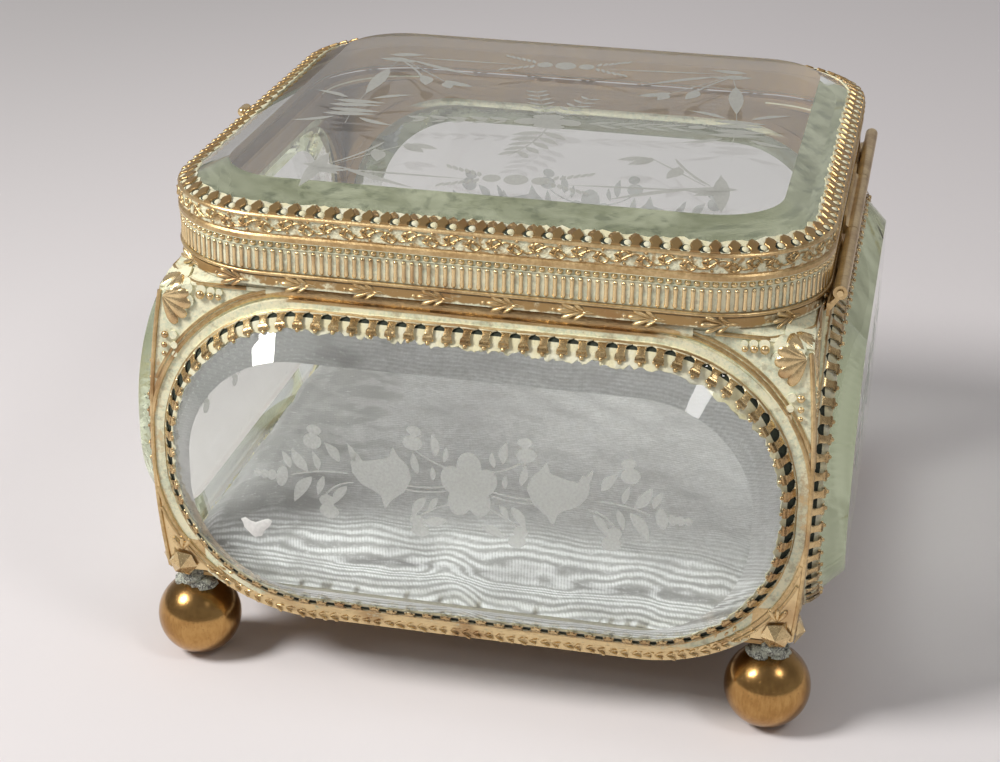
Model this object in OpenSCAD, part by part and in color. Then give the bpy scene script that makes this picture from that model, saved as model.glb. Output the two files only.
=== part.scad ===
// Glass casket: four bevelled glass sides in a stamped brass frame on ball feet,
// with a hinged lid that is a thick bevelled plate held by a ring of folded teeth.
// Origin: centre of the footprint, on the surface it stands on. +Z up.
// The hinge runs along the +X side and the thumb-piece is on the -X side.

/* [Body] */
// Distance that the bowed sides stand out past the lid at mid-height
side_proud = 0.2; // [0:0.1:3]
// Radius of the upright bow of the sides
bow_r = 230; // [160:5:600]
// Height at which the sides bow out most, and the middle of the windows
mid_z = 46.8; // [42:0.1:50]
// Thickness of the stamped brass sheet
sheet = 0.8; // [0.5:0.1:1.2]
// Height of the brass above a window
head_w = 4.9; // [4.5:0.1:8]
// Height of the square lower corners over a window's lower edge
corner_rise = 3.9; // [1:0.1:7]
// Height of the shoulders that turn the square corners into round ones
shoulder_h = 4.4; // [2.5:0.1:7]

/* [Windows] */
// Width of the brass beside a window at mid-height
post_w = 2.2; // [1.7:0.1:10]
// Half height of a window opening
window_half_h = 30.7; // [29:0.1:32]
// Corner radius of a window opening
window_r = 28.5; // [16:0.5:29]
// Width of the strip below a window
strip_w = 4.4; // [3:0.1:6]
// Width of the raised moulding round a window
bezel_w = 1.6; // [1:0.1:2.4]
// Width of the ledge behind the glass
ledge_w = 1.8; // [1:0.1:3]
// Depth of the ledge's front face behind the sheet at mid-height
ledge_in = 1.4; // [0.9:0.1:1.8]

/* [Ornament] */
// Height of the stamped ornament over the sheet
relief = 0.5; // [0.2:0.1:0.8]
// Width of the fine moulding outside a window's bezel, and of the shoulder's
wire_w = 0.7; // [0.4:0.1:1]
// Length of the longest petal of a corner palmette
petal_l = 6.2; // [3:0.1:8]
// Radius of the largest of a palmette's pearls
pearl_r = 0.95; // [0.5:0.05:1.2]
// Width of the pyramid on a lower corner
boss_w = 5.6; // [3:0.1:7]

/* [Glass] */
// Thickness of a side pane at its edge
pane_land = 1; // [0.6:0.1:2]
// Full thickness of a side pane
pane_t = 7.9; // [5:0.1:9]
// Width of the bevel of a side pane
pane_bevel = 6.8; // [4:0.1:9]
// Thickness of the lid pane at its edge
lid_pane_land = 2.4; // [1.5:0.1:3]
// Full thickness of the lid pane
lid_pane_t = 6.5; // [4:0.1:8]
// Width of the bevel of the lid pane
lid_pane_bevel = 8.9; // [6:0.1:12]
// Gap between glass and brass
glass_gap = 0.15; // [0.1:0.05:0.3]

/* [Galleries] */
// Distance between two prongs of a window gallery
prong_pitch = 3.6; // [3:0.1:6]
// Length of a prong
prong_l = 2.7; // [1.5:0.1:3.5]
// Distance between two teeth of the lid gallery
tooth_pitch = 3.6; // [3:0.1:6]
// Length of a tooth of the lid gallery
tooth_l = 3.2; // [2:0.1:4]
// Thickness of the gallery strip
strip_t = 0.35; // [0.25:0.05:0.5]
// Width of a prong or tooth at its shoulders
prong_w = 2; // [1:0.1:2.6]

/* [Lid] */
// Half width of the lid over its fillet
lid_half = 61.7; // [50:0.1:76]
// Corner radius of the lid
lid_r = 22.6; // [14:0.1:30]
// Gap between the closed lid and the body
lid_gap = 0.3; // [0.2:0.05:1]
// Height of the lower wire of the lid
wire_h = 0.7; // [0.4:0.1:1.2]
// Height of the reeded band
reed_h = 4.6; // [3:0.1:8]
// Distance between two reeds, and between two beads
reed_pitch = 1.8; // [1.4:0.1:4]
// Height of the row of beads
bead_h = 1.4; // [1:0.1:2.5]
// Height of the gallery's band, from the beads to the glass ledge
band_h = 2.2; // [1.6:0.1:4]
// Thumb-piece: distance that its bead stands out from the lid
thumb_out = 2.6; // [2:0.1:5]

/* [Hinge] */
// Length of the barrel
hinge_l = 96; // [60:1:110]
// Outer diameter of a knuckle
knuckle_d = 2.6; // [2.2:0.1:3]
// Diameter of the pin
pin_d = 1.2; // [1:0.1:1.6]
// Running clearance of the pin on the radius
pin_gap = 0.05; // [0.03:0.01:0.08]
// Gap between two knuckles
knuckle_gap = 0.25; // [0.15:0.05:0.5]
// Height of the hinge axis over the upper edge of the body
hinge_rise = 1.8; // [1.6:0.1:2.6]

/* [Feet and floor] */
// Diameter of a ball foot
ball_d = 16.4; // [12:0.1:17]
// Distance of a foot's centre inside the edges of the floor plate
foot_in = 2.4; // [1:0.1:8]
// Radius of the flat worn under a ball foot
foot_wear_r = 1; // [0.5:0.1:2]
// Radius of the collar that joins a foot to the floor plate
collar_r = 2.4; // [1.5:0.1:4]
// Height of the upper face of the floor plate
floor_z = 18.8; // [18:0.1:22]
// Thickness of the floor plate
floor_t = 0.8; // [0.6:0.1:1.5]
// Thickness of the card under the cushion
card_t = 1; // [0.5:0.1:2]
// Height of the cushion over its card
cushion_h = 7.5; // [4:0.5:20]

/* [Hidden] */

brass = [0.74, 0.56, 0.27];
bright_brass = [0.83, 0.66, 0.33];
glass_tint = [0.80, 0.89, 0.84, 0.6];
silk = [0.78, 0.80, 0.80];

// Body widths
side_half = lid_half + side_proud;
window_half_w = side_half - post_w;
ledge_n = side_half - ledge_in;
reach = 2 * side_half;                   // past everything, for cuts

// Body levels
side_top_z = mid_z + window_half_h + head_w;
corner_z = mid_z - window_half_h + corner_rise;
body_top_z = side_top_z + sheet;
band_w = 1.8;                            // height of the band under the lid
band_bottom_z = body_top_z - band_w;
shoulder_z = band_bottom_z - shoulder_h;
corner_c = lid_half - lid_r;             // centres of the rounded corners, from the middle
band_in = 0.5;                           // the band lies this far inside the lid's fillet
band_half = lid_half - band_in;
corner_trim = 1.65;                      // the shoulder starts this far inside the square corner
shoulder_r0 = sqrt(2) * (side_half - corner_c) - corner_trim;
shoulder_r1 = band_half - sheet - corner_c - 0.2;

// Side panes
pane_back_n = ledge_n + 0.1;
pane_half_w = window_half_w - strip_t - glass_gap - 0.1;
pane_half_h = window_half_h - strip_t - glass_gap - 0.1;
pane_r = window_r - strip_t - glass_gap - 0.1;
bevel_angle = atan((pane_t - pane_land) / pane_bevel);

// Lid levels
lid_z = body_top_z + lid_gap;
reed_z = lid_z + wire_h;
bead_z = reed_z + reed_h;
gallery_z = bead_z + bead_h;
lid_ledge_z = gallery_z + band_h;
lid_pane_z = lid_ledge_z + 0.1;
lid_pane_half = lid_half - 0.4 - strip_t - glass_gap;
lid_pane_r = lid_pane_half - corner_c;
lid_angle = atan((lid_pane_t - lid_pane_land) / lid_pane_bevel);
lid_wall = 1.4;                          // thickness of the lid's rim

// Hinge
hinge_x = lid_half + 0.4 + knuckle_d / 2;
hinge_z = body_top_z + hinge_rise;
knuckle_l = hinge_l / 3;
leaf_h = 2.8;
leaf_t = 0.6;

// Mouldings of the sides
roll_d = 2.9;                            // half-round moulding over the windows
roll_n = side_half - roll_d;
roll_z = band_bottom_z - 1.5;
bezel_t = 1.5;
bezel_rise = 0.4;
band_flange = 3;

// Stamped ornament
wire_off = bezel_w + 0.45;               // from the window's edge to the fine moulding
root_z = shoulder_z + 1;                 // where a palmette's petals spring from the fold
PETALS = [[40, 0.84, 2.1], [13, 0.95, 2.5], [-17, 1, 2.6], [-45, 0.97, 2.5], [-70, 1, 2.3]];
PEARLS = [[7.4, 0.9, 1], [9.3, 0.8, 0.82], [10.9, 0.7, 0.67],
    [1.9, -8.2, 0.84], [2.1, -10.2, 0.7], [2.2, -11.9, 0.58]];
boss_rise = 1.1;

// Floor and feet
floor_half = ledge_n - bezel_t - 0.2;
soft_gap = 0.05;
floor_corner = 3;
card_margin = 0.6;
cushion_corner = 9;
ball_rise = sqrt(pow(ball_d / 2, 2) - foot_wear_r * foot_wear_r);
ball_flat = sqrt(pow(ball_d / 2, 2) - collar_r * collar_r);
foot_xy = floor_half - foot_in;
thumb_w = 4.4;                           // length of the thumb-piece's bar

// Rounded rectangle in the plane, half sizes hw and hh, corner radius r
module rounded(hw, hh, r) {
    square([2 * hw, 2 * (hh - r)], center = true);
    square([2 * (hw - r), 2 * hh], center = true);
    for (x = [-1, 1], y = [-1, 1])
        translate([x * (hw - r), y * (hh - r)]) circle(r, $fn = 96);
}

module ring(hw, hh, r, w) {
    difference() {
        rounded(hw, hh, r);
        rounded(hw - w, hh - w, r - w);
    }
}

// Point and direction at distance s along a rounded rectangle that starts in the
// middle of its right side: [x, y, angle of the outward normal]
function along(s, hw, hh, r) = let (
        a = hw - r, b = hh - r, q = PI * r / 2,
        lengths = [b, q, 2 * a, q, 2 * b, q, 2 * a, q, b])
    walk(s, lengths, a, b, r, 0);

function walk(s, lengths, a, b, r, i) =
    i < 8 && s > lengths[i] ? walk(s - lengths[i], lengths, a, b, r, i + 1)
    : i == 0 ? [a + r, s, 0]
    : i == 1 ? arc_point(a, b, r, 0, s)
    : i == 2 ? [a - s, b + r, 90]
    : i == 3 ? arc_point(-a, b, r, 90, s)
    : i == 4 ? [-a - r, b - s, 180]
    : i == 5 ? arc_point(-a, -b, r, 180, s)
    : i == 6 ? [-a + s, -b - r, 270]
    : i == 7 ? arc_point(a, -b, r, 270, s)
    : [a + r, -b + s, 0];

function arc_point(cx, cy, r, start, s) = let (t = start + s / r * 180 / PI)
    [cx + r * cos(t), cy + r * sin(t), t];

function perimeter(hw, hh, r) = 4 * (hw - r) + 4 * (hh - r) + 2 * PI * r;

// Copies of the children along a rounded rectangle, with +X pointing outward
module copies_along(hw, hh, r, pitch) {
    count = round(perimeter(hw, hh, r) / pitch);
    for (i = [0 : count - 1]) {
        p = along((i + 0.5) * perimeter(hw, hh, r) / count, hw, hh, r);
        translate([p[0], p[1]]) rotate(p[2]) children();
    }
}

// A profile (x = distance from the centre line of the straight sides, y = height)
// carried round the lid's rounded square
module round_the_lid() {
    for (t = [0, 90, 180, 270]) rotate(t) {
        rotate([90, 0, 0]) linear_extrude(2 * corner_c, center = true)
            translate([corner_c, 0]) children();
        translate([corner_c, corner_c]) rotate_extrude(angle = 90, $fn = 96) children();
    }
}

// One prong or tooth: flat, pointing to -X from its root, lying in z = 0 .. strip_t
module crown(len) {
    linear_extrude(strip_t) polygon([
        [0.3, -prong_w * 0.36], [0.3, prong_w * 0.36], [-len * 0.3, prong_w * 0.25],
        [-len * 0.6, prong_w / 2], [-len * 0.8, prong_w * 0.36], [-len, 0],
        [-len * 0.8, -prong_w * 0.36], [-len * 0.6, -prong_w / 2],
        [-len * 0.3, -prong_w * 0.25]]);
}

// Upright section of the bowed form, inset from the outer surface
module bow_lens(inset) {
    intersection() {
        translate([bow_r - side_half, mid_z]) circle(bow_r - inset, $fn = 180);
        translate([side_half - bow_r, mid_z]) circle(bow_r - inset, $fn = 180);
        translate([-reach, 0]) square([2 * reach, side_top_z]);
    }
}

// The solid whose skin is the four stamped sides: square in plan, bowed upright,
// with conical shoulders that turn the square corners into the lid's round ones
module body_form(inset) {
    taper = (shoulder_r0 - shoulder_r1) / (band_bottom_z - shoulder_z);
    slant = inset * sqrt(1 + taper * taper);
    intersection() {
        rotate([90, 0, 0]) linear_extrude(2 * reach, center = true) bow_lens(inset);
        rotate([90, 0, 90]) linear_extrude(2 * reach, center = true) bow_lens(inset);
        union() {
            translate([-corner_c, -reach, 0]) cube([2 * corner_c, 2 * reach, reach]);
            translate([-reach, -corner_c, 0]) cube([2 * reach, 2 * corner_c, reach]);
            for (x = [-1, 1], y = [-1, 1]) translate([x * corner_c, y * corner_c, 0]) {
                cylinder(r = reach, h = shoulder_z);
                translate([0, 0, shoulder_z])
                    cylinder(r1 = shoulder_r0 - slant, r2 = shoulder_r1 - slant,
                        h = band_bottom_z - shoulder_z, $fn = 96);
                translate([0, 0, band_bottom_z])
                    cylinder(r = shoulder_r1 - slant, h = reach, $fn = 96);
            }
        }
    }
}

// Things of one side are made for the front (-Y) and turned into place
module on_side(turn) {
    rotate(turn) children();
}

// Flat shape (x, height over the middle of the window) at distance n in front
module on_front(n0, n1) {
    translate([0, -n0, mid_z]) rotate([90, 0, 0]) linear_extrude(n1 - n0) children();
}

// Shapes drawn on a side, raised over its bowed sheet
module stamped(rise) {
    intersection() {
        difference() {
            body_form(-rise);
            body_form(sheet / 2);
        }
        on_front(side_half / 2, reach) children();
    }
}

// Drop from the origin to length l along +X, w wide near its end
module petal(l, w) {
    translate([l - w / 2, 0]) circle(w / 2, $fn = 24);
    polygon([[0.4, -0.3], [0.4, 0.3], [l - w * 0.55, w * 0.49], [l - w * 0.55, -w * 0.49]]);
}

// Fan of petals from the fold, with two rows of pearls; s is the side it is on
module palmette(s) {
    fold = bow_half(root_z);
    translate([s * (fold - 0.7), root_z - mid_z]) mirror([s > 0 ? 1 : 0, 0]) {
        for (p = PETALS) rotate(p[0]) petal(petal_l * p[1], p[2]);
        for (p = PEARLS) translate([p[0], p[1]]) circle(pearl_r * p[2], $fn = 24);
    }
}

// Half width of the bowed form at a height
function bow_half(z) = side_half - bow_r + sqrt(bow_r * bow_r - (z - mid_z) * (z - mid_z));

// Low pyramid on a lower corner
module corner_boss(s) {
    n = bow_half(corner_z + boss_w / 2);
    low = corner_z + 0.3 - mid_z;
    hull() {
        on_front(n - sheet, n - sheet + 0.01) polygon([
            [s * (n - 0.6), low], [s * (n - 0.6), low + boss_w * 1.2], [s * (n - boss_w), low]]);
        on_front(n + boss_rise - 0.01, n + boss_rise)
            translate([s * (n - boss_w * 0.35), low + boss_w * 0.36]) square(0.3, center = true);
    }
}

module side_ornament() {
    stamped(relief * 0.7) {
        ring(window_half_w + wire_off + wire_w, window_half_h + wire_off + wire_w,
            window_r + wire_off + wire_w, wire_w);
        for (s = [-1, 1]) translate([s * (corner_c + reach / 2), roll_z - mid_z])
            square([reach, wire_w], center = true);
    }
    stamped(relief) for (s = [-1, 1]) palmette(s);
    for (s = [-1, 1]) corner_boss(s);
}

module side_frame() {
    intersection() {
        union() {
            side_ornament();
            difference() {
                union() {
                    body_form(0);
                    translate([-corner_c, -roll_n, roll_z]) rotate([0, 90, 0])
                        cylinder(d = roll_d, h = 2 * corner_c, $fn = 32);
                }
                body_form(sheet);
                on_front(side_half / 2, reach) rounded(window_half_w, window_half_h, window_r);
            }
            on_front(ledge_n - sheet, ledge_n)
                ring(window_half_w + sheet, window_half_h + sheet, window_r + sheet,
                    ledge_w + sheet);
            on_front(ledge_n - bezel_t, ledge_n + bezel_rise)
                ring(window_half_w + bezel_w, window_half_h + bezel_w, window_r + bezel_w,
                    bezel_w);
        }
        // mitred at 45 degrees at the corners
        linear_extrude(reach) polygon([[0, 0], [-reach, -reach], [reach, -reach]]);
        // cut below to follow the window, with square ends at the lower corners
        on_front(side_half / 2, reach) union() {
            rounded(window_half_w + strip_w, window_half_h + strip_w, window_r + strip_w);
            translate([-reach, corner_z - mid_z]) square([2 * reach, reach]);
        }
    }
}

module side_pane() {
    on_front(pane_back_n, pane_back_n + pane_land)
        rounded(pane_half_w, pane_half_h, pane_r);
    hull() {
        on_front(pane_back_n + pane_land - 0.01, pane_back_n + pane_land)
            rounded(pane_half_w, pane_half_h, pane_r);
        on_front(pane_back_n + pane_t - 0.01, pane_back_n + pane_t)
            rounded(pane_half_w - pane_bevel, pane_half_h - pane_bevel, pane_r - pane_bevel);
    }
}

// Thin wall in the window opening, with prongs folded over the bevel of the pane
module window_gallery() {
    wall = pane_land + 0.2;
    edge = 0.1 + strip_t;
    on_front(ledge_n, ledge_n + wall)
        ring(window_half_w - 0.1, window_half_h - 0.1, window_r - 0.1, strip_t);
    translate([0, -ledge_n - wall, mid_z]) rotate([90, 0, 0])
        copies_along(window_half_w - edge, window_half_h - edge, window_r - edge, prong_pitch)
            rotate([0, bevel_angle, 0]) crown(prong_l);
}

module frame_front() { color(brass) on_side(0) side_frame(); }
module frame_right() { color(brass) on_side(90) side_frame(); }
module frame_back() { color(brass) on_side(180) side_frame(); }
module frame_left() { color(brass) on_side(270) side_frame(); }

module glass_front() { color(glass_tint) on_side(0) side_pane(); }
module glass_right() { color(glass_tint) on_side(90) side_pane(); }
module glass_back() { color(glass_tint) on_side(180) side_pane(); }
module glass_left() { color(glass_tint) on_side(270) side_pane(); }

module gallery_front() { color(bright_brass) on_side(0) window_gallery(); }
module gallery_right() { color(bright_brass) on_side(90) window_gallery(); }
module gallery_back() { color(bright_brass) on_side(180) window_gallery(); }
module gallery_left() { color(bright_brass) on_side(270) window_gallery(); }

// Rounded square band that the lid closes on, with a flange over the sides
module top_band() {
    r = band_half - corner_c;
    color(brass) round_the_lid() polygon([
        [r, band_bottom_z], [r, body_top_z], [r - band_flange, body_top_z],
        [r - band_flange, side_top_z], [r - sheet, side_top_z], [r - sheet, band_bottom_z]]);
}

module floor_plate() {
    color(brass) translate([0, 0, floor_z - floor_t]) linear_extrude(floor_t)
        rounded(floor_half, floor_half, floor_corner);
}

module cushion_card() {
    color([0.75, 0.72, 0.64]) translate([0, 0, floor_z]) linear_extrude(card_t)
        rounded(floor_half - card_margin, floor_half - card_margin, floor_corner);
}

// Padded silk cushion: a slab with rounded edges
module cushion() {
    half = floor_half - 2 * card_margin;
    corner = cushion_corner;
    color(silk) translate([0, 0, floor_z + card_t + soft_gap]) hull()
        for (x = [-1, 1], y = [-1, 1]) translate([x * (half - corner), y * (half - corner), 0])
            rotate_extrude($fn = 32) intersection() {
                square([corner, cushion_h]);
                union() {
                    square([corner - cushion_h / 2, cushion_h]);
                    translate([corner - cushion_h / 2, cushion_h / 2])
                        circle(cushion_h / 2, $fn = 24);
                }
            }
}

// A ball foot with a small worn flat below and a flat on top for its collar
module ball_foot(x, y) {
    r = ball_d / 2;
    color(bright_brass) translate([x * foot_xy, y * foot_xy, ball_rise]) intersection() {
        sphere(r, $fn = 96);
        translate([-r, -r, -ball_rise]) cube([2 * r, 2 * r, ball_rise + ball_flat]);
    }
}

// Solder collar from the flat of the ball up to the floor plate
module foot_collar(x, y) {
    z0 = ball_rise + ball_flat;
    z1 = floor_z - floor_t;
    color(brass) translate([x * foot_xy, y * foot_xy, 0]) rotate_extrude($fn = 64)
        polygon([[0, z0], [collar_r, z0], [collar_r * 0.8, (z0 + z1) / 2],
            [collar_r, z1], [0, z1]]);
}

module foot_front_left() { ball_foot(-1, -1); }
module foot_front_right() { ball_foot(1, -1); }
module foot_back_left() { ball_foot(-1, 1); }
module foot_back_right() { ball_foot(1, 1); }
module collar_front_left() { foot_collar(-1, -1); }
module collar_front_right() { foot_collar(1, -1); }
module collar_back_left() { foot_collar(-1, 1); }
module collar_back_right() { foot_collar(1, 1); }

// Bore for the pin through the knuckles
module knuckle_bore() {
    translate([hinge_x, 0, hinge_z]) rotate([90, 0, 0])
        cylinder(d = pin_d + 2 * pin_gap, h = hinge_l + 4, center = true, $fn = 48);
}

// Knuckle number i of three along the barrel
module knuckle(i) {
    translate([hinge_x, -hinge_l / 2 + (i + 0.5) * knuckle_l, hinge_z]) rotate([90, 0, 0])
        cylinder(d = knuckle_d, h = knuckle_l - knuckle_gap, center = true, $fn = 48);
}

// Profile in the plane across the hinge, drawn from y0 over a length
module across_hinge(y0, len) {
    translate([0, y0 + len, 0]) rotate([90, 0, 0]) linear_extrude(len) children();
}

// Leaf soldered on the top band, with the two outer knuckles
module hinge_body_leaf() {
    low = body_top_z - leaf_h;
    color(brass) difference() {
        union() {
            across_hinge(-hinge_l / 2, hinge_l)
                translate([band_half, low]) square([leaf_t, leaf_h - lid_gap]);
            for (i = [0, 2]) {
                knuckle(i);
                across_hinge(-hinge_l / 2 + i * knuckle_l + knuckle_gap / 2,
                    knuckle_l - knuckle_gap)
                    polygon([[band_half + 0.1, low + 1], [band_half + 0.1, body_top_z - lid_gap],
                        [band_half + 0.4, body_top_z - lid_gap], [hinge_x - 0.8, hinge_z - 1],
                        [hinge_x, hinge_z - 0.8], [hinge_x, hinge_z - 1.25],
                        [band_half + leaf_t, low + 1]]);
            }
        }
        knuckle_bore();
    }
}

// Leaf soldered on the reeded band, with the middle knuckle
module hinge_lid_leaf() {
    x = lid_half - 0.1;
    color(brass) difference() {
        union() {
            knuckle(1);
            across_hinge(-knuckle_l / 2 + knuckle_gap / 2, knuckle_l - knuckle_gap)
                polygon([[x, hinge_z - 0.4], [hinge_x - 0.5, hinge_z - 0.4],
                    [hinge_x - 0.5, hinge_z + 0.7], [x + 0.45, hinge_z + 1.4],
                    [x + 0.45, hinge_z + leaf_h + 0.6], [x, hinge_z + leaf_h + 0.6]]);
        }
        knuckle_bore();
    }
}

module hinge_pin() {
    color(bright_brass) translate([hinge_x, 0, hinge_z]) rotate([90, 0, 0])
        cylinder(d = pin_d, h = hinge_l + 0.8, center = true, $fn = 48);
}

// Rim that carries the lid pane on a ledge, with teeth folded over its bevel
module lid_gallery() {
    wall_out = lid_r - 0.4;
    wall_in = wall_out - strip_t;
    tooth_z = lid_pane_z + lid_pane_land + 0.15;
    half = corner_c + wall_in;
    color(brass) {
        round_the_lid() polygon([
            [lid_r, gallery_z], [lid_r, gallery_z + 0.9], [lid_r - 0.3, gallery_z + 1.2],
            [wall_out, tooth_z], [wall_in, tooth_z], [wall_in, lid_ledge_z],
            [wall_in - ledge_w, lid_ledge_z], [wall_in - ledge_w, lid_ledge_z - sheet],
            [lid_r - lid_wall, lid_ledge_z - sheet], [lid_r - lid_wall, gallery_z]]);
        translate([0, 0, tooth_z]) copies_along(half, half, wall_in, tooth_pitch)
            rotate([0, lid_angle, 0]) crown(tooth_l);
    }
}

// Row of beads on a plain strip; each bead is a short drum with its axis upright
module lid_bead_wire() {
    bead_r = reed_pitch * 0.4;
    half = lid_half - 0.2 - bead_r;
    color(brass) {
        translate([0, 0, bead_z]) linear_extrude(bead_h)
            ring(half, half, half - corner_c, half - lid_half + lid_wall);
        translate([0, 0, bead_z + bead_h * 0.1]) linear_extrude(bead_h * 0.8)
            copies_along(half, half, half - corner_c, reed_pitch) circle(bead_r, $fn = 24);
    }
}

// Band of upright reeds over a round lower wire
module lid_reeded_band() {
    reed_r = reed_pitch * 0.36;
    half = lid_half - 0.1 - reed_r;
    color(brass) {
        translate([0, 0, reed_z]) linear_extrude(reed_h) {
            ring(half, half, half - corner_c, half - lid_half + lid_wall);
            copies_along(half, half, half - corner_c, reed_pitch) circle(reed_r, $fn = 24);
        }
        round_the_lid() {
            translate([lid_r - lid_wall, lid_z]) square([lid_wall - wire_h / 2 - 0.1, wire_h]);
            translate([lid_r - wire_h / 2 - 0.1, lid_z + wire_h / 2]) circle(d = wire_h, $fn = 24);
        }
    }
}

module lid_glass() {
    color(glass_tint) translate([0, 0, lid_pane_z]) {
        linear_extrude(lid_pane_land) rounded(lid_pane_half, lid_pane_half, lid_pane_r);
        hull() {
            translate([0, 0, lid_pane_land - 0.01]) linear_extrude(0.01)
                rounded(lid_pane_half, lid_pane_half, lid_pane_r);
            translate([0, 0, lid_pane_t - 0.01]) linear_extrude(0.01)
                rounded(lid_pane_half - lid_pane_bevel, lid_pane_half - lid_pane_bevel,
                    lid_pane_r - lid_pane_bevel);
        }
    }
}

// Bracket on the lid's fillet with a rounded bar for the thumb
module thumb_piece() {
    x = -lid_half;
    z = gallery_z + 0.9;
    bar_r = 1.1;
    color(bright_brass) {
        rotate([90, 0, 0]) linear_extrude(thumb_w * 0.6, center = true)
            polygon([[x, z - 1.8], [x, z], [x - thumb_out + 2.1, z + 2.6],
                [x - thumb_out + 0.6, z + 2.6], [x - 0.9, z - 1.2]]);
        translate([x - thumb_out + bar_r + 0.2, 0, z + 3.3]) {
            rotate([90, 0, 0]) cylinder(r = bar_r, h = thumb_w - 2 * bar_r, center = true,
                $fn = 32);
            for (s = [-1, 1]) translate([0, s * (thumb_w / 2 - bar_r), 0])
                sphere(r = bar_r, $fn = 32);
        }
    }
}

frame_front();
frame_back();
frame_left();
frame_right();
top_band();
glass_front();
glass_back();
glass_left();
glass_right();
gallery_front();
gallery_back();
gallery_left();
gallery_right();
floor_plate();
cushion_card();
cushion();
foot_front_left();
foot_front_right();
foot_back_left();
foot_back_right();
collar_front_left();
collar_front_right();
collar_back_left();
collar_back_right();
hinge_body_leaf();
hinge_pin();
hinge_lid_leaf();
lid_gallery();
lid_bead_wire();
lid_reeded_band();
lid_glass();
thumb_piece();
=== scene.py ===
# %% [markdown]
# # A casket of bevelled glass in gilt brass
# The imported frame brings every rigid piece at its true size and place. This file
# dresses it: worn gilding with pale green patina in the hollows, thick clear glass
# with wheel-cut flowers, folded claws, beads and reeds, and a ribbed silk cushion.
# New pieces are modelled in millimetres and brought to metres when they are done.

# %% Open the frame
import itertools
import math
import random

import bpy
from mathutils import Matrix, Vector, noise


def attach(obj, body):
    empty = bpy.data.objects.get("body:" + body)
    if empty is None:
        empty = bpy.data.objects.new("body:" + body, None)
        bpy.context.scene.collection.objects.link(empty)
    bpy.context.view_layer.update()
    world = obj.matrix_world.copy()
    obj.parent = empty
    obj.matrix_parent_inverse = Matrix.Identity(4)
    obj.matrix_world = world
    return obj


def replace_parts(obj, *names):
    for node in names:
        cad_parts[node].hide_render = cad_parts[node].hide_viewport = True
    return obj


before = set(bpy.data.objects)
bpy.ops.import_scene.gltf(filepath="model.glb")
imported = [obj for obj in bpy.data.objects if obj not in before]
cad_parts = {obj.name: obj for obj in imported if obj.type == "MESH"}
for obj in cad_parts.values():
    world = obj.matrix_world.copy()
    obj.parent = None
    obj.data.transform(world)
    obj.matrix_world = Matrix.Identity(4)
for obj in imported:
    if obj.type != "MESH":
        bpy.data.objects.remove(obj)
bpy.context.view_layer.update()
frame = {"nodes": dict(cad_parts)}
nodes = frame["nodes"]
MM = 0.001

# %% [markdown]
# ## Camera
# The view is from above the front, turned a little to the left side, with a lens
# long enough to keep the box's edges nearly parallel.

# %% Camera
PICTURE_W = 1000
FOCAL_PX = 2105.0
CAMERA_PITCH = math.radians(24.26)
CAMERA_YAW = math.radians(-12.06)
CAMERA_ROLL = math.radians(0.88)
CAMERA_TARGET = Vector((-0.00816, 0.0, 0.03908))
CAMERA_DISTANCE = 0.4476
SENSOR_W = 36.0

forward = Vector((math.sin(CAMERA_YAW) * math.cos(CAMERA_PITCH),
                  math.cos(CAMERA_YAW) * math.cos(CAMERA_PITCH),
                  -math.sin(CAMERA_PITCH)))
sideways = Vector((math.cos(CAMERA_YAW), -math.sin(CAMERA_YAW), 0.0))
upward = sideways.cross(forward)
right_hand = sideways * math.cos(CAMERA_ROLL) + upward * math.sin(CAMERA_ROLL)
head_up = upward * math.cos(CAMERA_ROLL) - sideways * math.sin(CAMERA_ROLL)

bpy.ops.object.camera_add(location=CAMERA_TARGET - forward * CAMERA_DISTANCE)
camera = bpy.context.object
turned = Matrix((right_hand, head_up, -forward)).transposed()
camera.rotation_euler = turned.to_euler()
camera.data.sensor_width = SENSOR_W
camera.data.lens = FOCAL_PX * SENSOR_W / PICTURE_W
camera.data.clip_start = 0.01
bpy.context.scene.camera = camera
print("camera at", [round(v, 4) for v in camera.location])

# %% [markdown]
# ## Shader sums
# A finish is a chain of nodes. Long chains read best as ordinary sums, so a small
# class wraps a node's output and turns +, -, * and / into Math nodes.

# %% Terms
class Term:
    """One number on its way through a node tree."""

    def __init__(self, nodes, socket):
        self.nodes = nodes
        self.socket = socket

    def math(self, operation, *others):
        return self.nodes.math(operation, self, *others)

    def __add__(self, other):
        return self.math("ADD", other)

    def __radd__(self, other):
        return self.nodes.math("ADD", other, self)

    def __sub__(self, other):
        return self.math("SUBTRACT", other)

    def __rsub__(self, other):
        return self.nodes.math("SUBTRACT", other, self)

    def __mul__(self, other):
        return self.math("MULTIPLY", other)

    def __rmul__(self, other):
        return self.nodes.math("MULTIPLY", other, self)

    def __truediv__(self, other):
        return self.math("DIVIDE", other)

    def __abs__(self):
        return self.math("ABSOLUTE")

    def least(self, other):
        return self.math("MINIMUM", other)

    def most(self, other):
        return self.math("MAXIMUM", other)

    def wave(self):
        """A sine that runs from 0 to 1 and back."""
        return self.math("SINE") * 0.5 + 0.5

    def step(self, low, high):
        """0 below low, 1 above high, and a soft rise between."""
        settings = {"interpolation_type": "SMOOTHSTEP"}
        inputs = {"Value": self, "From Min": low, "From Max": high}
        return self.nodes.number("ShaderNodeMapRange", settings, inputs, "Result")


print("shader terms ready")

# %% [markdown]
# Every other node comes from one method, which makes it, sets it up and feeds its
# sockets. The finishes, the lamps and the room all use it, so each reads as a list
# of what goes into what.

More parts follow.
